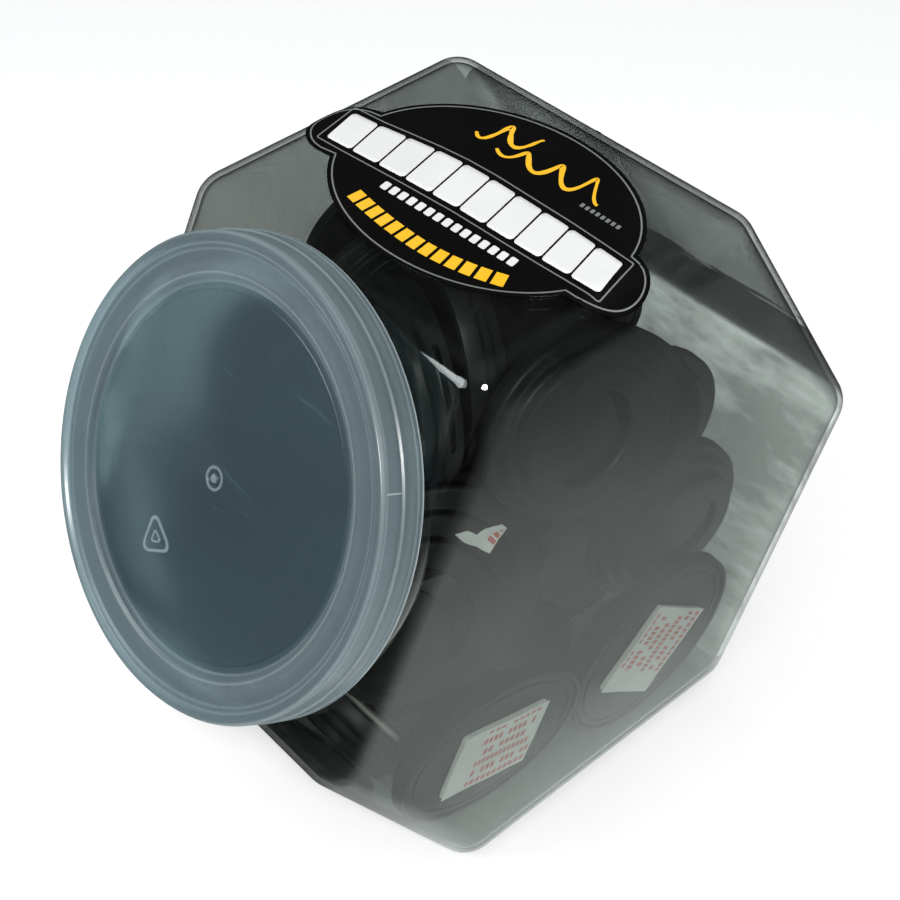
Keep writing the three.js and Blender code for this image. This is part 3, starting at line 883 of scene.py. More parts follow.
def case_mesh():
    """Closed holder: cover and base plate in one skin, a joint groove between them."""
    underside = ovals(BASE_PLATE, UNDERSIDE_ROWS)[::-1]
    joint = ovals(BASE_PLATE, [(0, 0, 0, 1.5)]) + ovals(inside(RIM), JOINT_ROWS)
    return carved_mesh("case_fine", loft(underside + joint + holder_outside()),
                       holder_cuts(opening_floor=9.6, slot_depth=8.0))


def base_mesh():
    return mesh_of("base_fine", loft(ovals(BASE_PLATE, BASE_TOP_ROWS + UNDERSIDE_ROWS)))


def pusher_mesh():
    """Pick-shaped plate with softened edges and a round boss under it."""
    # x from the pusher's axis, y, radius, first and last angle
    corners = [(13.6, 0, 2.4, -60, 60), (-8.4, 10.6, 4.0, 60, 180), (-8.4, -10.6, 4.0, 180, 300)]
    levels = ((-0.3, 8.9), (0, 9.15), (0, 9.85), (-0.09, 10.01), (-0.3, 10.1))     # grow, z
    boss_profile = [(0, 7.4), (2.0, 7.4), (2.4, 7.7), (2.4, 9.2), (0, 9.2)]
    straight_over, straight_pieces = 3, 6

    def ring(grow, z):
        points = []
        for x, y, radius, first, last in corners:
            for k in range(9):
                angle = math.radians(first + (last - first) * k / 8)
                points.append(Vector((x + (radius + grow) * math.cos(angle) + TIER_X,
                                      y + (radius + grow) * math.sin(angle), z)))
        out = []
        for here, there in zip(points, points[1:] + points[:1]):
            pieces = 1 if (there - here).length < straight_over else straight_pieces
            out += [tuple(here.lerp(there, k / pieces)) for k in range(pieces)]
        return out

    verts, faces = lathe(boss_profile, 32)
    boss = solid("boss", ([(x + TIER_X, y, z) for x, y, z in verts], faces))
    plate = loft([ring(grow, z) for grow, z in levels])
    return carved_mesh("pusher_fine", plate, [("UNION", boss)])


def spring_mesh():
    """Conical coil of round wire."""
    turns, steps, wire_points = 2.5, 150, 12
    foot_r, narrowing, foot_z, height, wire_r = 5.4, 1.6, 2.9, 5.1, 0.5
    rows = []
    for i in range(steps + 1):
        share = i / steps
        angle = 2 * math.pi * turns * share
        radius = foot_r - narrowing * share
        centre = Vector((TIER_X + radius * math.cos(angle), radius * math.sin(angle),
                         foot_z + height * share))
        out = Vector((math.cos(angle), math.sin(angle), 0))
        row = []
        for k in range(wire_points):
            turn = 2 * math.pi * k / wire_points
            row.append(tuple(centre + out * (wire_r * math.cos(turn))
                             + Vector((0, 0, wire_r * math.sin(turn)))))
        rows.append(row)
    return mesh_of("spring_fine", loft(rows), 60)


def sheet_mesh(name, length, width, bottom, top, corner_r, wave):
    """Thin rectangular sheet with rounded corners, gently waved."""
    x_in, y_in = length / 2 - corner_r, width / 2 - corner_r
    outline = []
    for x, y, start in ((x_in, y_in, 0), (-x_in, y_in, 90), (-x_in, -y_in, 180),
                        (x_in, -y_in, 270)):
        for k in range(9):
            angle = math.radians(start + 90 * k / 8)
            outline.append((x + corner_r * math.cos(angle), y + corner_r * math.sin(angle)))
    outline = divide(outline, lambda side: round(side / 2.2) if side > 3 else 1)

    def ring(scale, z):
        out = []
        for x, y in outline:
            x, y = x * scale, y * scale
            swell = math.sin(x * 0.31 + 0.6) * math.cos(y * 0.27)
            ripple = 0.5 * math.sin(y * 0.55 + x * 0.2)
            out.append((x, y, z + wave * (swell + ripple)))
        return out

    scales = (0.15, 0.35, 0.55, 0.75, 0.9, 0.985)
    bevel = (top - bottom) * 0.25
    rows = [ring(scale, top) for scale in scales]
    rows += [ring(1.0, top - bevel), ring(1.0, bottom + bevel)]
    rows += [ring(scale, bottom) for scale in scales[::-1]]
    return mesh_of(name, loft(rows), 40)


COVER = cover_mesh()
CASE = case_mesh()
BASE = base_mesh()
PUSHER = pusher_mesh()
SPRING = spring_mesh()
FOAM = sheet_mesh("foam_fine", length=30.8, width=24.8, bottom=-0.60, top=0.58,
                  corner_r=0.9, wave=0.03)
LINER = sheet_mesh("liner_fine", length=31.2, width=25.2, bottom=-1.06, top=-0.90,
                   corner_r=0.5, wave=0.09)
for mesh, material in ((COVER, BLACK_ABS), (CASE, BLACK_ABS), (BASE, BLACK_ABS),
                       (PUSHER, PUSHER_ABS), (SPRING, SPRING_STEEL), (FOAM, PAD_FOAM),
                       (LINER, LINER_PAPER)):
    mesh.materials.clear()
    mesh.materials.append(material)

# mesh, name ending, material slot, ending of the CAD piece replaced
FULL_PARTS = (
    (COVER, "_shell", "holder_plastic", "_cover"),
    (BASE, "_base", "holder_plastic", "_base_plate"),
    (PUSHER, "_thumb_plate", "pusher_plastic", "_pusher"),
    (SPRING, "_coil", "spring_steel", "_spring"),
    (FOAM, "_foam", "pad_foam", "_foam_pad"),
    (LINER, "_release_paper", "liner_paper", "_liner"),
)
CLOSED_PARTS = (
    (CASE, "_shell", "holder_plastic", "_case"),
    (FOAM, "_foam", "pad_foam", None),
    (LINER, "_release_paper", "liner_paper", None),
)


def add_holder(number, x, y, z, qx, qy, qz, qw):
    turn = Quaternion((qw, qx, qy, qz)).normalized().to_matrix().to_4x4()
    matrix = Matrix.Translation(Vector((x, y, z)) * MM) @ turn
    holder = "holder_%02d" % number
    parts = FULL_PARTS if number <= FULL_COUNT else CLOSED_PARTS
    if number in BARE:
        parts = CLOSED_PARTS[:1]
    for mesh, ending, slot, replaced in parts:
        ob = put(holder + ending, mesh, matrix)
        body = holder + "_pusher" if mesh == PUSHER else "jar"
        enrol(ob, body, holder + replaced if replaced else None)
        if mesh == SPRING:           # each coil has a mesh of its own; a real coil closes up as its pusher goes down
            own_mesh(ob)


for index, place in enumerate(HEAP):
    add_holder(index + 1, *place)


# ------------------------------------------------------------------ jar
def hex_outline(inset, radius):
    """Jar profile in (y, z), moved in by inset, with round corners and divided runs."""
    sides = []                     # a point on each side, its direction, its inward normal
    for (y0, z0), (y1, z1) in zip(HEX, HEX[1:] + HEX[:1]):
        length = math.hypot(y1 - y0, z1 - z0)
        dy, dz = (y1 - y0) / length, (z1 - z0) / length
        sides.append(((y0 + dz * inset, z0 - dy * inset), (dy, dz), (dz, -dy)))
    corners = []
    for i in range(6):
        (from_point, from_dir, from_in), (to_point, to_dir, to_in) = sides[i - 1], sides[i]
        cross = from_dir[0] * to_dir[1] - from_dir[1] * to_dir[0]
        reach = ((to_point[0] - from_point[0]) * to_dir[1]
                 - (to_point[1] - from_point[1]) * to_dir[0]) / cross
        cosine = -(from_dir[0] * to_dir[0] + from_dir[1] * to_dir[1])
        half = math.acos(max(-1, min(1, cosine))) / 2
        middle = (from_in[0] + to_in[0], from_in[1] + to_in[1])
        size = math.hypot(*middle)
        centre = [from_point[k] + from_dir[k] * reach
                  + middle[k] / size * radius / math.sin(half) for k in range(2)]
        corners.append(arc_points(centre, radius, math.atan2(-from_in[1], -from_in[0]),
                                  math.atan2(-to_in[1], -to_in[0]), 10))
    shares = [0.02] + [k / 12 for k in range(1, 12)] + [0.98]
    out = []
    for corner, following in zip(corners, corners[1:] + corners[:1]):
        (y0, z0), (y1, z1) = corner[-1], following[0]
        out += corner
        out += [(y0 + (y1 - y0) * share, z0 + (z1 - z0) * share) for share in shares]
    return out


def jar_block(name, grow, ridge):
    """Rounded prism; grow moves every face outwards. A mould line runs round it at x = 0."""
    radius = EDGE_R + grow
    steps = 12

    def grown(amount):
        return hex_outline(EDGE_R - amount, CORNER_R + amount)

    # outlines from the middle of the -X end to near x = 0: (x, outline)
    end = grown(0)
    half = []
    for scale in (0.1, 0.3, 0.5, 0.7, 0.85, 0.95, 0.99):
        half.append((-FLAT_HALF - radius, [(JAR_MID[0] + (y - JAR_MID[0]) * scale,
                                            JAR_MID[1] + (z - JAR_MID[1]) * scale)
                                           for y, z in end]))
    for i in range(steps + 1):
        angle = math.pi / 2 * i / steps
        half.append((-FLAT_HALF - radius * math.cos(angle), grown(radius * math.sin(angle))))
    half += [(FLAT_HALF * share, grown(radius)) for share in (-0.985, -0.8, -0.6, -0.4, -0.2, -0.06)]
    mould_line = [(x, grown(radius + height)) for x, height in
                  ((-0.55, 0.0), (-0.28, ridge * 0.7), (0.0, ridge), (0.28, ridge * 0.7), (0.55, 0.0))]
    stations = half + mould_line + [(-x, outline) for x, outline in half[::-1]]
    rings = [[(x, y, z) for y, z in outline] for x, outline in stations]
    return solid(name, loft(rings))


def neck_solid(name, profile):
    """Lathe on the neck's axis, with its vertices in the jar's frame."""
    verts, faces = lathe(profile, 160)
    return solid(name, ([tuple((NECK_FRAME @ (Vector(v) * MM)) / MM) for v in verts], faces))


def is_inside_face(centre, normal):
    """Whether a face of the jar looks into it; the centre is in millimetres."""
    from_neck = centre - NECK_CENTRE
    height = from_neck.dot(NECK_DIR)
    outward = from_neck - NECK_DIR * height
    radius = outward.length
    on_neck = height > -0.05 and radius < 60
    on_bore = abs(radius - BORE_R) < 0.05 and height > -17
    if on_neck or on_bore:
        return normal.dot(outward.normalized()) < -0.4
    # in a convex body the outward face looks away from the middle
    return normal.dot(centre - Vector((0, *JAR_MID))) < 0


def even_normals(ob):
    modifier = ob.modifiers.new("even_normals", "WEIGHTED_NORMAL")
    modifier.keep_sharp = True
    return modifier


def build_jar():
    jar = jar_block("jar_shell", grow=0.0, ridge=0.14)
    void = jar_block("jar_void", grow=-WALL, ridge=0.0)
    collar_r = NECK_R + 1.9
    # radius, height, fillet radius
    neck = neck_solid("neck_tool", round_profile([
        (0, -6.5, 0), (NECK_R, -6.5, 0), (collar_r, -2.0, 0), (collar_r, 0.7, 0.5),
        (NECK_R + 0.3, 1.7, 0.8), (NECK_R, 3.2, 0.8), (NECK_R, 5.6, 0.5),
        (BEAD_R, 6.4, 0.5), (BEAD_R, 7.8, 0.5), (NECK_R, 8.7, 0.5),
        (NECK_R, NECK_HEIGHT, 0.6), (BORE_R - 4, NECK_HEIGHT, 0), (0, NECK_HEIGHT, 0)]))
    mouth_r = BORE_R + 0.5
    bore = neck_solid("bore_tool", [
        (0, -16), (BORE_R, -16), (BORE_R, NECK_HEIGHT - 0.6),
        (BORE_R + 0.12, NECK_HEIGHT - 0.25), (mouth_r, NECK_HEIGHT + 0.01),
        (mouth_r, NECK_HEIGHT + 3), (0, NECK_HEIGHT + 3)])
    boolean(jar, [("UNION", neck), ("DIFFERENCE", void), ("DIFFERENCE", bore)], 38)
    mesh = jar.data
    mesh.materials.clear()
    mesh.materials.append(SHELL_OUTSIDE)
    mesh.materials.append(SHELL_INSIDE)
    for face in mesh.polygons:
        face.material_index = int(is_inside_face(face.center / MM, face.normal))
    even_normals(jar).weight = 80
    return jar


enrol(build_jar(), "jar", "jar_body")

# ------------------------------------------------------------------ lid
# heights are along the neck's axis
LID_R = 60.0
PANEL_R = 47.0
PANEL_Z = 13.2
RING_Z = 14.7                  # flat ring round the panel
LID_TOP_Z = 16.0
MARK = (-12.5, -24.5)          # triangular mark, in the lid's own plane
TICK = (52.3, 27.2)            # small raised tick on the ring


def lid_profile():
    """Radius, height, fillet radius; from the axis underneath, round the skirt, to the top."""
    under, wall_in, skirt_r = RING_Z - 1.4, LID_R - 0.35, LID_R - 0.65
    return round_profile([
        (0, PANEL_Z - 1.1, 0), (PANEL_R + 1.0, PANEL_Z - 1.1, 0.8), (PANEL_R + 2.6, under, 0.5),
        (LID_R - 1.9, under, 0.5), (LID_R - 1.7, 5.6, 0.3), (LID_R - 2.5, 5.0, 0.2),
        (LID_R - 2.5, 4.4, 0.2), (LID_R - 1.5, 3.4, 0.2), (LID_R - 0.05, 3.4, 0.35),
        (LID_R, 4.9, 0.3), (wall_in, 5.5, 0.25), (wall_in, 8.9, 0.3),
        (LID_R - 0.10, 9.5, 0.25), (skirt_r, 10.1, 0.25), (skirt_r, LID_TOP_Z - 1.2, 0.6),
        (LID_R - 1.5, LID_TOP_Z, 0.8), (LID_R - 2.9, LID_TOP_Z, 0.55),
        (LID_R - 3.6, RING_Z + 0.35, 0.35), (LID_R - 4.3, RING_Z + 0.45, 0.3),
        (LID_R - 5.2, RING_Z, 0.5), (PANEL_R + 2.3, RING_Z, 0.5),
        (PANEL_R + 1.2, RING_Z - 0.5, 0.4), (PANEL_R, PANEL_Z, 0.5),
        (PANEL_R - 1.6, PANEL_Z, 0.3), (PANEL_R - 1.9, PANEL_Z + 0.10, 0.2),
        (3.3, PANEL_Z, 0.1), (3.0, PANEL_Z + 0.22, 0.12), (2.5, PANEL_Z + 0.22, 0.12),
        (2.2, PANEL_Z - 0.08, 0.1), (1.3, PANEL_Z - 0.08, 0.1), (1.0, PANEL_Z + 0.5, 0.2),
        (0.5, PANEL_Z + 0.65, 0.2), (0, PANEL_Z + 0.7, 0),
    ], 5)


def panel_rise(angle, radius, height):
    """Very slight unevenness of the panel's top."""
    if radius < 45 and height > 12.8:
        return 0.05 * math.sin(2 * angle + 0.4) * (radius / 46) ** 2
    return 0.0


def rounded_triangle(reach, radius):
    points = []
    for k in range(3):
        heading = math.radians(90 + 120 * k)
        for i in range(9):
            angle = heading - math.pi / 3 + 2 * math.pi / 3 * i / 8
            points.append((reach * math.cos(heading) + radius * math.cos(angle),
                           reach * math.sin(heading) + radius * math.sin(angle)))
    return points


def triangle_frame(name, outer, inner):
    """Raised triangular outline on the panel; outer and inner are (reach, radius)."""
    cosine, sine = math.cos(0.5), math.sin(0.5)
    low, high = PANEL_Z - 0.3, PANEL_Z + 0.34
    rows = [[(MARK[0] + x * cosine - y * sine, MARK[1] + x * sine + y * cosine, z)
             for x, y in rounded_triangle(*sizes)]
            for sizes, z in ((outer, low), (outer, high), (inner, high), (inner, low))]
    return solid(name, loft(rows, "loop"), NECK_FRAME)


def tick_solid():
    """Upright oval post, its long axis pointing away from the lid's centre."""
    heading, distance = math.atan2(TICK[1], TICK[0]), math.hypot(*TICK)
    cosine, sine = math.cos(heading), math.sin(heading)
    points = []
    for k in range(12):
        angle = 2 * math.pi * k / 12
        points.append((distance + 0.75 * math.cos(angle), 0.32 * math.sin(angle)))
    rows = [[(x * cosine - y * sine, x * sine + y * cosine, z) for x, y in points]
            for z in (10.6, 15.0)]
    return solid("tick", loft(rows), NECK_FRAME)


def edge_highlight_level(x, y, z):
    """How much a point is lit up by a painted highlight along a moulded edge."""
    radius = math.hypot(x, y)
    if math.hypot(x - TICK[0], y - TICK[1]) < 1.3 and radius > 59.4 and z > 10.3:
        return 0.8
    if math.hypot(x - MARK[0], y - MARK[1]) < 7 and z > PANEL_Z + 0.2:
        return 0.75
    if radius < 3.2 and z > PANEL_Z + 0.16:
        return 0.7
    return 0.0


def build_lid():
    lid = solid("lid_cap", lathe(lid_profile(), 240, panel_rise), NECK_FRAME, 42)
    boolean(lid, [
        ("UNION", triangle_frame("mark", outer=(3.6, 1.9), inner=(3.1, 1.4))),
        ("UNION", triangle_frame("mark2", outer=(1.1, 0.75), inner=(0.7, 0.45))),
        ("UNION", tick_solid()),
    ], 42)
    mesh = lid.data
    mesh.materials.clear()
    mesh.materials.append(LID_PLASTIC)
    points = [vertex.co / MM for vertex in mesh.vertices]
    dense = [smoothstep(PANEL_R - 1.2, PANEL_R + 1.0, math.hypot(x, y)) for x, y, _ in points]
    edge = [edge_highlight_level(x, y, z) for x, y, z in points]
    for name, values in (("dense", dense), ("edge", edge)):
        mesh.attributes.new(name, "FLOAT", "POINT").data.foreach_set("value", values)
    even_normals(lid)
    return lid


enrol(build_lid(), "lid", "lid")

# ------------------------------------------------------------------ label
# x and y are as seen from above; heights are above the jar's skin
LABEL_CENTRE, LABEL_A, LABEL_B = (3.0, 7.2), 45.5, 33.0
LOBES = [(-41.5, 0.8, 11.2), (46.6, 5.4, 11.0)]      # x, y, radius
LABEL_LIFT = 0.5
PRINT_FOOT = LABEL_LIFT - 0.02
LINE_TOP = LABEL_LIFT + 0.03
DASH_TOP = LABEL_LIFT + 0.05
BLOCK_TOP = LABEL_LIFT + 0.06


def drape(x, y, lift):
    """Point over the top flat and its rounded ends, lifted off the skin along its normal."""
    if abs(x) <= FLAT_HALF:
        return x, y, TOP_Z + lift
    radius = EDGE_R + lift
    angle = (abs(x) - FLAT_HALF) / EDGE_R
    return (math.copysign(1, x) * (FLAT_HALF + radius * math.sin(angle)), y,
            TOP_Z - EDGE_R + radius * math.cos(angle))


def label_outline(points, grow=0.0):
    """Ellipse with a round lobe at each end, joined by soft necks."""
    neck, neck_rise = 3.0, 0.6
    out = []
    for i in range(points):
        angle = 2 * math.pi * i / points
        dx, dy = math.cos(angle), math.sin(angle)
        reach = 1 / math.hypot(dx / (LABEL_A + grow), dy / (LABEL_B + grow))
        for lobe_x, lobe_y, lobe_r in LOBES:
            x, y, radius = lobe_x - LABEL_CENTRE[0], lobe_y - LABEL_CENTRE[1], lobe_r + grow
            along = x * dx + y * dy
            aside = x * x + y * y - along * along
            if along > 0 and aside < radius * radius:
                far = along + math.sqrt(radius * radius - aside)
                gap = abs(reach - far)
                soft = neck_rise * max(0.0, 1 - gap / neck) ** 2 if gap < neck else 0
                reach = max(reach, far) + soft
        out.append((LABEL_CENTRE[0] + reach * dx, LABEL_CENTRE[1] + reach * dy))
    return out


def label_piece(name, rows, ends, material):
    mesh = mesh_of(name, loft(rows, ends), 50)
    mesh.materials.append(material)
    ob = put(name, mesh)
    enrol(ob, "jar")
    return ob


def flat_piece(name, outline, centre, foot, top, material, scales):
    """Thin sheet lying on the jar: a star-shaped outline about a centre, draped over the skin."""
    def ring(scale, lift):
        return [drape(centre[0] + (x - centre[0]) * scale, centre[1] + (y - centre[1]) * scale,
                      lift) for x, y in outline]

    rows = [ring(scale, top) for scale in scales]
    rows += [ring(0.997, top), ring(1.0, top - 0.02), ring(1.0, foot)]
    rows += [ring(scale, foot) for scale in scales[::-1]]
    return label_piece(name, rows, "fan", material)


def strip_piece(name, path, half_widths, top, material, closed=False):
    """A printed line of even or varying width along a path."""
    left = offset_path(path, [-half for half in half_widths], closed)
    right = offset_path(path, half_widths, closed)
    rows = [[drape(*one, PRINT_FOOT), drape(*one, top), drape(*other, top),
             drape(*other, PRINT_FOOT)] for one, other in zip(left, right)]
    label_piece(name, rows, "loop" if closed else "polygon", material)


def grey_line(name, path, width):
    strip_piece(name, path, [width / 2] * len(path), LINE_TOP, LABEL_GREY, closed=True)


sheet = flat_piece("label_sheet", label_outline(260), LABEL_CENTRE, 0.3, LABEL_LIFT, LABEL_BLACK,
                   (0.08, 0.2, 0.32, 0.44, 0.55, 0.65, 0.74, 0.81, 0.87, 0.92, 0.96, 0.985))
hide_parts("front_label")
grey_line("label_border", label_outline(300, grow=-1.3), width=0.42)

# a row of plain leaning blocks, all of one width, across the label in a grey keyline
# lower and upper edge of the row: (x, y)
FOOT = [(-45, -5.3), (-33, -4.2), (-16.5, -2.7), (2.7, -1.3), (31, -0.5), (52, 0.5)]
HEAD = [(-50, 6.9), (-38, 8.4), (-28, 10.2), (-14, 12.6), (0, 13.3), (30, 13.2), (50, 12.3)]
BLOCK_COUNT, BLOCK_START, BLOCK_WIDTH, BLOCK_GAP = 10, -43.4, 8.79, 0.62
HEAD_DROP = 0.4
LEAN = 3.7                       # the head of each block sits this far towards -X of its foot
KEYLINE_MARGIN = 1.75


def interpolate(table, x):
    if x <= table[0][0]:
        return table[0][1]
    for (x0, y0), (x1, y1) in zip(table, table[1:]):
        if x <= x1:
            return y0 + (y1 - y0) * (x - x0) / (x1 - x0)
    return table[-1][1]


def widened(edge, rise):
    """Edge of the row moved by rise in y, its two ends moved out by the margin."""
    (x0, y0), *middle, (x1, y1) = edge
    points = [(x0 - KEYLINE_MARGIN, y0), *middle, (x1 + KEYLINE_MARGIN, y1)]
    return [(x, y + rise) for x, y in points]


def add_blocks():
    blocks = []
    x = BLOCK_START
    for number in range(1, BLOCK_COUNT + 1):
        end = x + BLOCK_WIDTH
        block = [(x, interpolate(FOOT, x)), (end, interpolate(FOOT, end)),
                 (end - LEAN, interpolate(HEAD, end - LEAN) - HEAD_DROP),
                 (x - LEAN, interpolate(HEAD, x - LEAN) - HEAD_DROP)]
        flat_piece("label_block_%02d" % number, rounded_poly(block, 1.1), mean_point(block),
                   PRINT_FOOT, BLOCK_TOP, LABEL_WHITE, (0.4, 0.8))
        blocks.append(block)
        x += BLOCK_WIDTH + BLOCK_GAP
    lower = [block[0] for block in blocks] + [blocks[-1][1]]
    upper = [blocks[0][3]] + [block[2] for block in blocks]
    path = widened(lower, -KEYLINE_MARGIN) + widened(upper, KEYLINE_MARGIN)[::-1]
    grey_line("label_keyline_1", rounded_poly(path, 0.7, steps=4, run=1.2), width=0.38)


add_blocks()


def brush_wave(name, start, end, swings, humps, phase, thickness=1.6):
    """Yellow brushed wave between two points; swings are its height at the start and end."""
    count = 170
    path, half_widths = [], []
    for i in range(count):
        share = i / (count - 1)
        angle = 2 * math.pi * (humps * share + phase)
        swing = swings[0] + (swings[1] - swings[0]) * share
        path.append((start[0] + (end[0] - start[0]) * share
                     - 0.33 * swing * math.sin(angle) + 0.8 * math.cos(angle),
                     start[1] + (end[1] - start[1]) * share + swing * math.sin(angle)))
        taper = 0.55 + 0.45 * math.sin(math.pi * min(1.0, share * 1.03 + 0.02))
        half_widths.append(thickness * taper * (0.88 + 0.12 * math.sin(47 * share)) / 2)
    strip_piece(name, path, half_widths, DASH_TOP, LABEL_YELLOW)


# two yellow waves towards +Y
brush_wave("label_wave_a", start=(-18.5, 26.6), end=(-2.0, 30.6), swings=(4.4, 2.6),
           humps=1.7, phase=0.60)
brush_wave("label_wave_b", start=(-8.5, 23.2), end=(24.5, 28.0), swings=(2.0, 4.4),
           humps=3.2, phase=0.55)


def dash(name, outline, centre, material):
    flat_piece(name, outline, centre, PRINT_FOOT, DASH_TOP, material, (0.5,))


def leaning_dash(name, x, y, corners, corner_r, centre_x, material):
    points = [(x + dx, y + dy) for dx, dy in corners]
    dash(name, rounded_poly(points, corner_r), (x + centre_x, y), material)


# a row of small white dashes on the -Y side of the blocks; corners from the dash's place
WHITE_DASH = ((0.3, -1.45), (2.5, -1.40), (1.85, 1.5), (-0.35, 1.45))
for k in range(15):
    x = -17.2 + 3.15 * k
    leaning_dash("label_dash_%02d" % k, x, -7.9 + 2.0 * ((x + 17) / 45), WHITE_DASH,
                 corner_r=0.45, centre_x=1.1, material=LABEL_WHITE)


def arc_point(share, offset):
    """Point on the shallow arc near the label's -Y edge, offset across it."""
    x = -19.2 + 50.6 * share
    from_low = x - 5.0
    bend = 0.0034 if from_low < 0 else 0.0074
    y = -17.5 + bend * from_low * from_low
    slope = 2 * bend * from_low
    length = math.hypot(1, slope)
    return x - slope / length * offset - 0.12 * offset, y + offset / length


# yellow dashes along the arc; length and pitch are shares of the arc
ARC_DASH, ARC_PITCH, ARC_HALF_HEIGHT = 0.060, 0.080, 2.15
for k in range(13):
    shares = [ARC_PITCH * k + ARC_DASH * i / 4 for i in range(5)]
    outline = [arc_point(share, -ARC_HALF_HEIGHT) for share in shares]
    outline += [arc_point(share, ARC_HALF_HEIGHT) for share in shares[::-1]]
    dash("label_arc_%02d" % k, outline, mean_point(outline), LABEL_YELLOW)

# tiny grey dashes by the wave
FINE_DASH = ((0.1, -0.7), (1.15, -0.7), (0.95, 0.7), (-0.1, 0.7))
for k in range(8):
    leaning_dash("label_fine_%02d" % k, 22.8 + 1.75 * k, 21.2, FINE_DASH,
                 corner_r=0.2, centre_x=0.5, material=LABEL_GREY)

# ------------------------------------------------------------------ scrap of release paper
# a torn piece lying on a holder, in its own frame
SCRAP_X = Vector((-0.2563, 0.9374, 0.2359))
SCRAP_Y = Vector((-0.6761, -0.3482, 0.6494))
SCRAP_FRAME = axes_matrix(SCRAP_X, SCRAP_Y, SCRAP_X.cross(SCRAP_Y).normalized(),
                          Vector((39.53, -28.34, 104.86)) * MM)
# outlines: (x, y)
SCRAP_OUTLINE = [
    (-4.84, 6.48), (-3.3, 5.3), (-1.83, 4.38), (-1.1, 2.9), (-0.76, 1.48), (0.5, 1.2),
    (1.90, 0.66), (4.0, -0.8), (6.27, -2.56), (6.39, -4.27), (2.86, -4.01), (-1.84, -4.27),
    (-2.4, -3.0), (-2.7, -1.8), (-3.0, -0.3), (-3.9, 1.3), (-4.7, 3.3)]
SCRAP_PRINT_OUTLINE = [
    (-1.75, -0.45), (1.5, -1.2), (5.9, -3.9), (2.86, -3.95), (-1.70, -4.15), (-2.1, -3.0),
    (-2.0, -1.61)]


def scrap_piece(name, outline, centre, bottom, top, material):
    """Thin sheet that tilts along its y and waves along its x."""
    def ring(scale, level):
        out = []
        for x, y in outline:
            x = centre[0] + (x - centre[0]) * scale
            y = centre[1] + (y - centre[1]) * scale
            out.append((x, y, level + 0.13 * (y + 4.3) + 0.12 * math.sin(x * 0.9)))
        return out

    rows = [ring(scale, top) for scale in (0.3, 0.65, 1.0)]
    rows += [ring(scale, bottom) for scale in (1.0, 0.65, 0.3)]
    mesh = mesh_of(name, loft(rows), 50)
    mesh.materials.append(material)
    enrol(put(name, mesh, SCRAP_FRAME), "jar")


scrap_piece("liner_scrap_back", SCRAP_OUTLINE, centre=(-0.5, -0.5), bottom=0.0, top=0.12,
            material=SCRAP_BACK)
scrap_piece("liner_scrap_print", SCRAP_PRINT_OUTLINE, centre=(0.3, -2.5), bottom=0.15, top=0.20,
            material=LINER_PAPER)


# ------------------------------------------------------------------ floor, camera, lights
def build_floor():
    cells, half = 24, 3000.0
    row = cells + 1
    ticks = [-half + 2 * half * i / cells for i in range(row)]
    verts = [(x, y, 0.0) for y in ticks for x in ticks]
    faces = [(j * row + i, j * row + i + 1, (j + 1) * row + i + 1, (j + 1) * row + i)
             for j in range(cells) for i in range(cells)]
    ob = solid("floor", (verts, faces))
    ob.data.materials.append(floor_material("pale_floor"))
    ob.location.z = -0.0002
    return ob


def add_camera():
    forward = Vector((-0.5648, 0.4540, -0.6891)).normalized()
    rough_up = Vector((-0.5025, 0.4731, 0.7236)).normalized()
    right = forward.cross(rough_up).normalized()
    camera = bpy.data.cameras.new("camera")
    camera.lens = 71.64
    camera.sensor_width = 36.0
    camera.clip_start = 0.01
    camera.clip_end = 50.0
    ob = bpy.data.objects.new("camera", camera)
    ob.matrix_world = axes_matrix(right, right.cross(forward).normalized(), -forward,
                                  Vector((0.2762, -0.2271, 0.4292)))
    bpy.context.scene.collection.objects.link(ob)
    bpy.context.scene.camera = ob


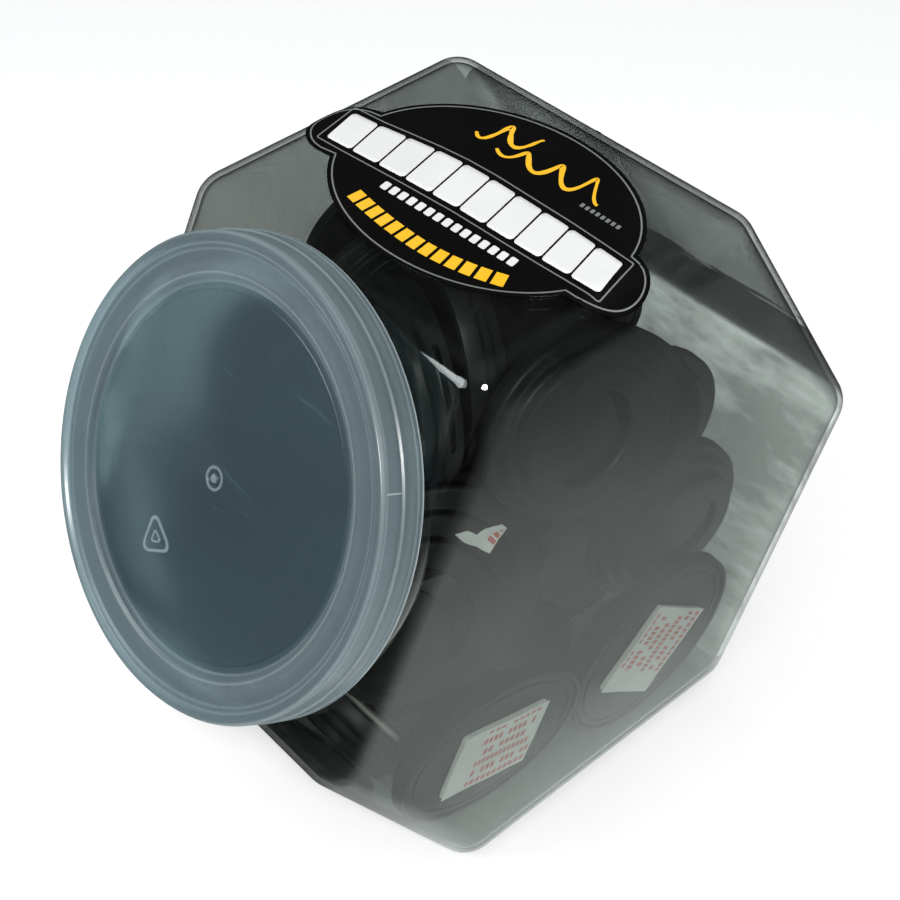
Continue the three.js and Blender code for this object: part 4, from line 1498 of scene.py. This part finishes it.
def disk_light(name, location, target, size, power, colour=(1, 1, 1)):
    light = bpy.data.lights.new(name, "AREA")
    light.shape = "DISK"
    light.energy = power
    light.size = size
    light.color = colour
    ob = bpy.data.objects.new(name, light)
    ob.location = location
    aim = Vector(target) - Vector(location)
    ob.rotation_euler = aim.to_track_quat("-Z", "Y").to_euler()
    bpy.context.scene.collection.objects.link(ob)


build_floor()
add_camera()
disk_light("key_soft", location=(0.75, -0.55, 1.05), target=(0, 0, 0.08), size=0.34,
           power=16.0, colour=(1.0, 0.99, 0.97))
disk_light("fill_soft", location=(-0.55, -1.0, 0.8), target=(0, 0, 0.08), size=0.5,
           power=4.0, colour=(0.94, 0.97, 1.0))
disk_light("lens_light", location=(0.245, -0.30, 0.52), target=(0.02, -0.03, 0.10),
           size=0.0035, power=0.035)

# ------------------------------------------------------------------ world
# what glossy rays see: (share of the way from straight down to straight up, level)
ROOM_STOPS = ((0.0, 0.30), (0.46, 0.10), (0.52, (0.025, 0.026, 0.027)),
              (0.86, (0.030, 0.031, 0.032)), (1.0, (0.22, 0.23, 0.23)))


def build_world():
    """Soft light all round; reflections see a dark room, the camera a pale backdrop."""
    world = bpy.data.worlds.new("studio")
    bpy.context.scene.world = world
    sky = Shader(world, "OutputWorld")
    path = sky.node("LightPath").outputs
    height = sky.split(sky.node("TexCoord").outputs["Generated"])["Z"]
    room = sky.ramp(sky.remap(height, span=(-1.0, 1.0)), ROOM_STOPS)
    soft = sky.node("Background", Color=(0.96, 0.98, 1.0, 1), Strength=0.62)
    dark = sky.node("Background", Color=room)
    backdrop = sky.node("Background", Color=(0.93, 0.94, 0.95, 1), Strength=0.95)
    mirrored = sky.node("Math", {"operation": "SUBTRACT", "use_clamp": True},
                        i0=path["Is Glossy Ray"], i1=path["Is Transmission Ray"])
    unseen = sky.mix_shader(mirrored, soft, dark)
    sky.finish(sky.mix_shader(path["Is Camera Ray"], unseen, backdrop))


build_world()

# ------------------------------------------------------------------ render settings
scene = bpy.context.scene
scene.cycles.transparent_max_bounces = 64
scene.cycles.max_bounces = 14
scene.cycles.transmission_bounces = 12
scene.cycles.glossy_bounces = 5
scene.cycles.diffuse_bounces = 4
scene.cycles.caustics_reflective = False
scene.cycles.caustics_refractive = False
scene.cycles.sample_clamp_indirect = 4.0
scene.view_settings.view_transform = "Standard"
scene.view_settings.look = "None"
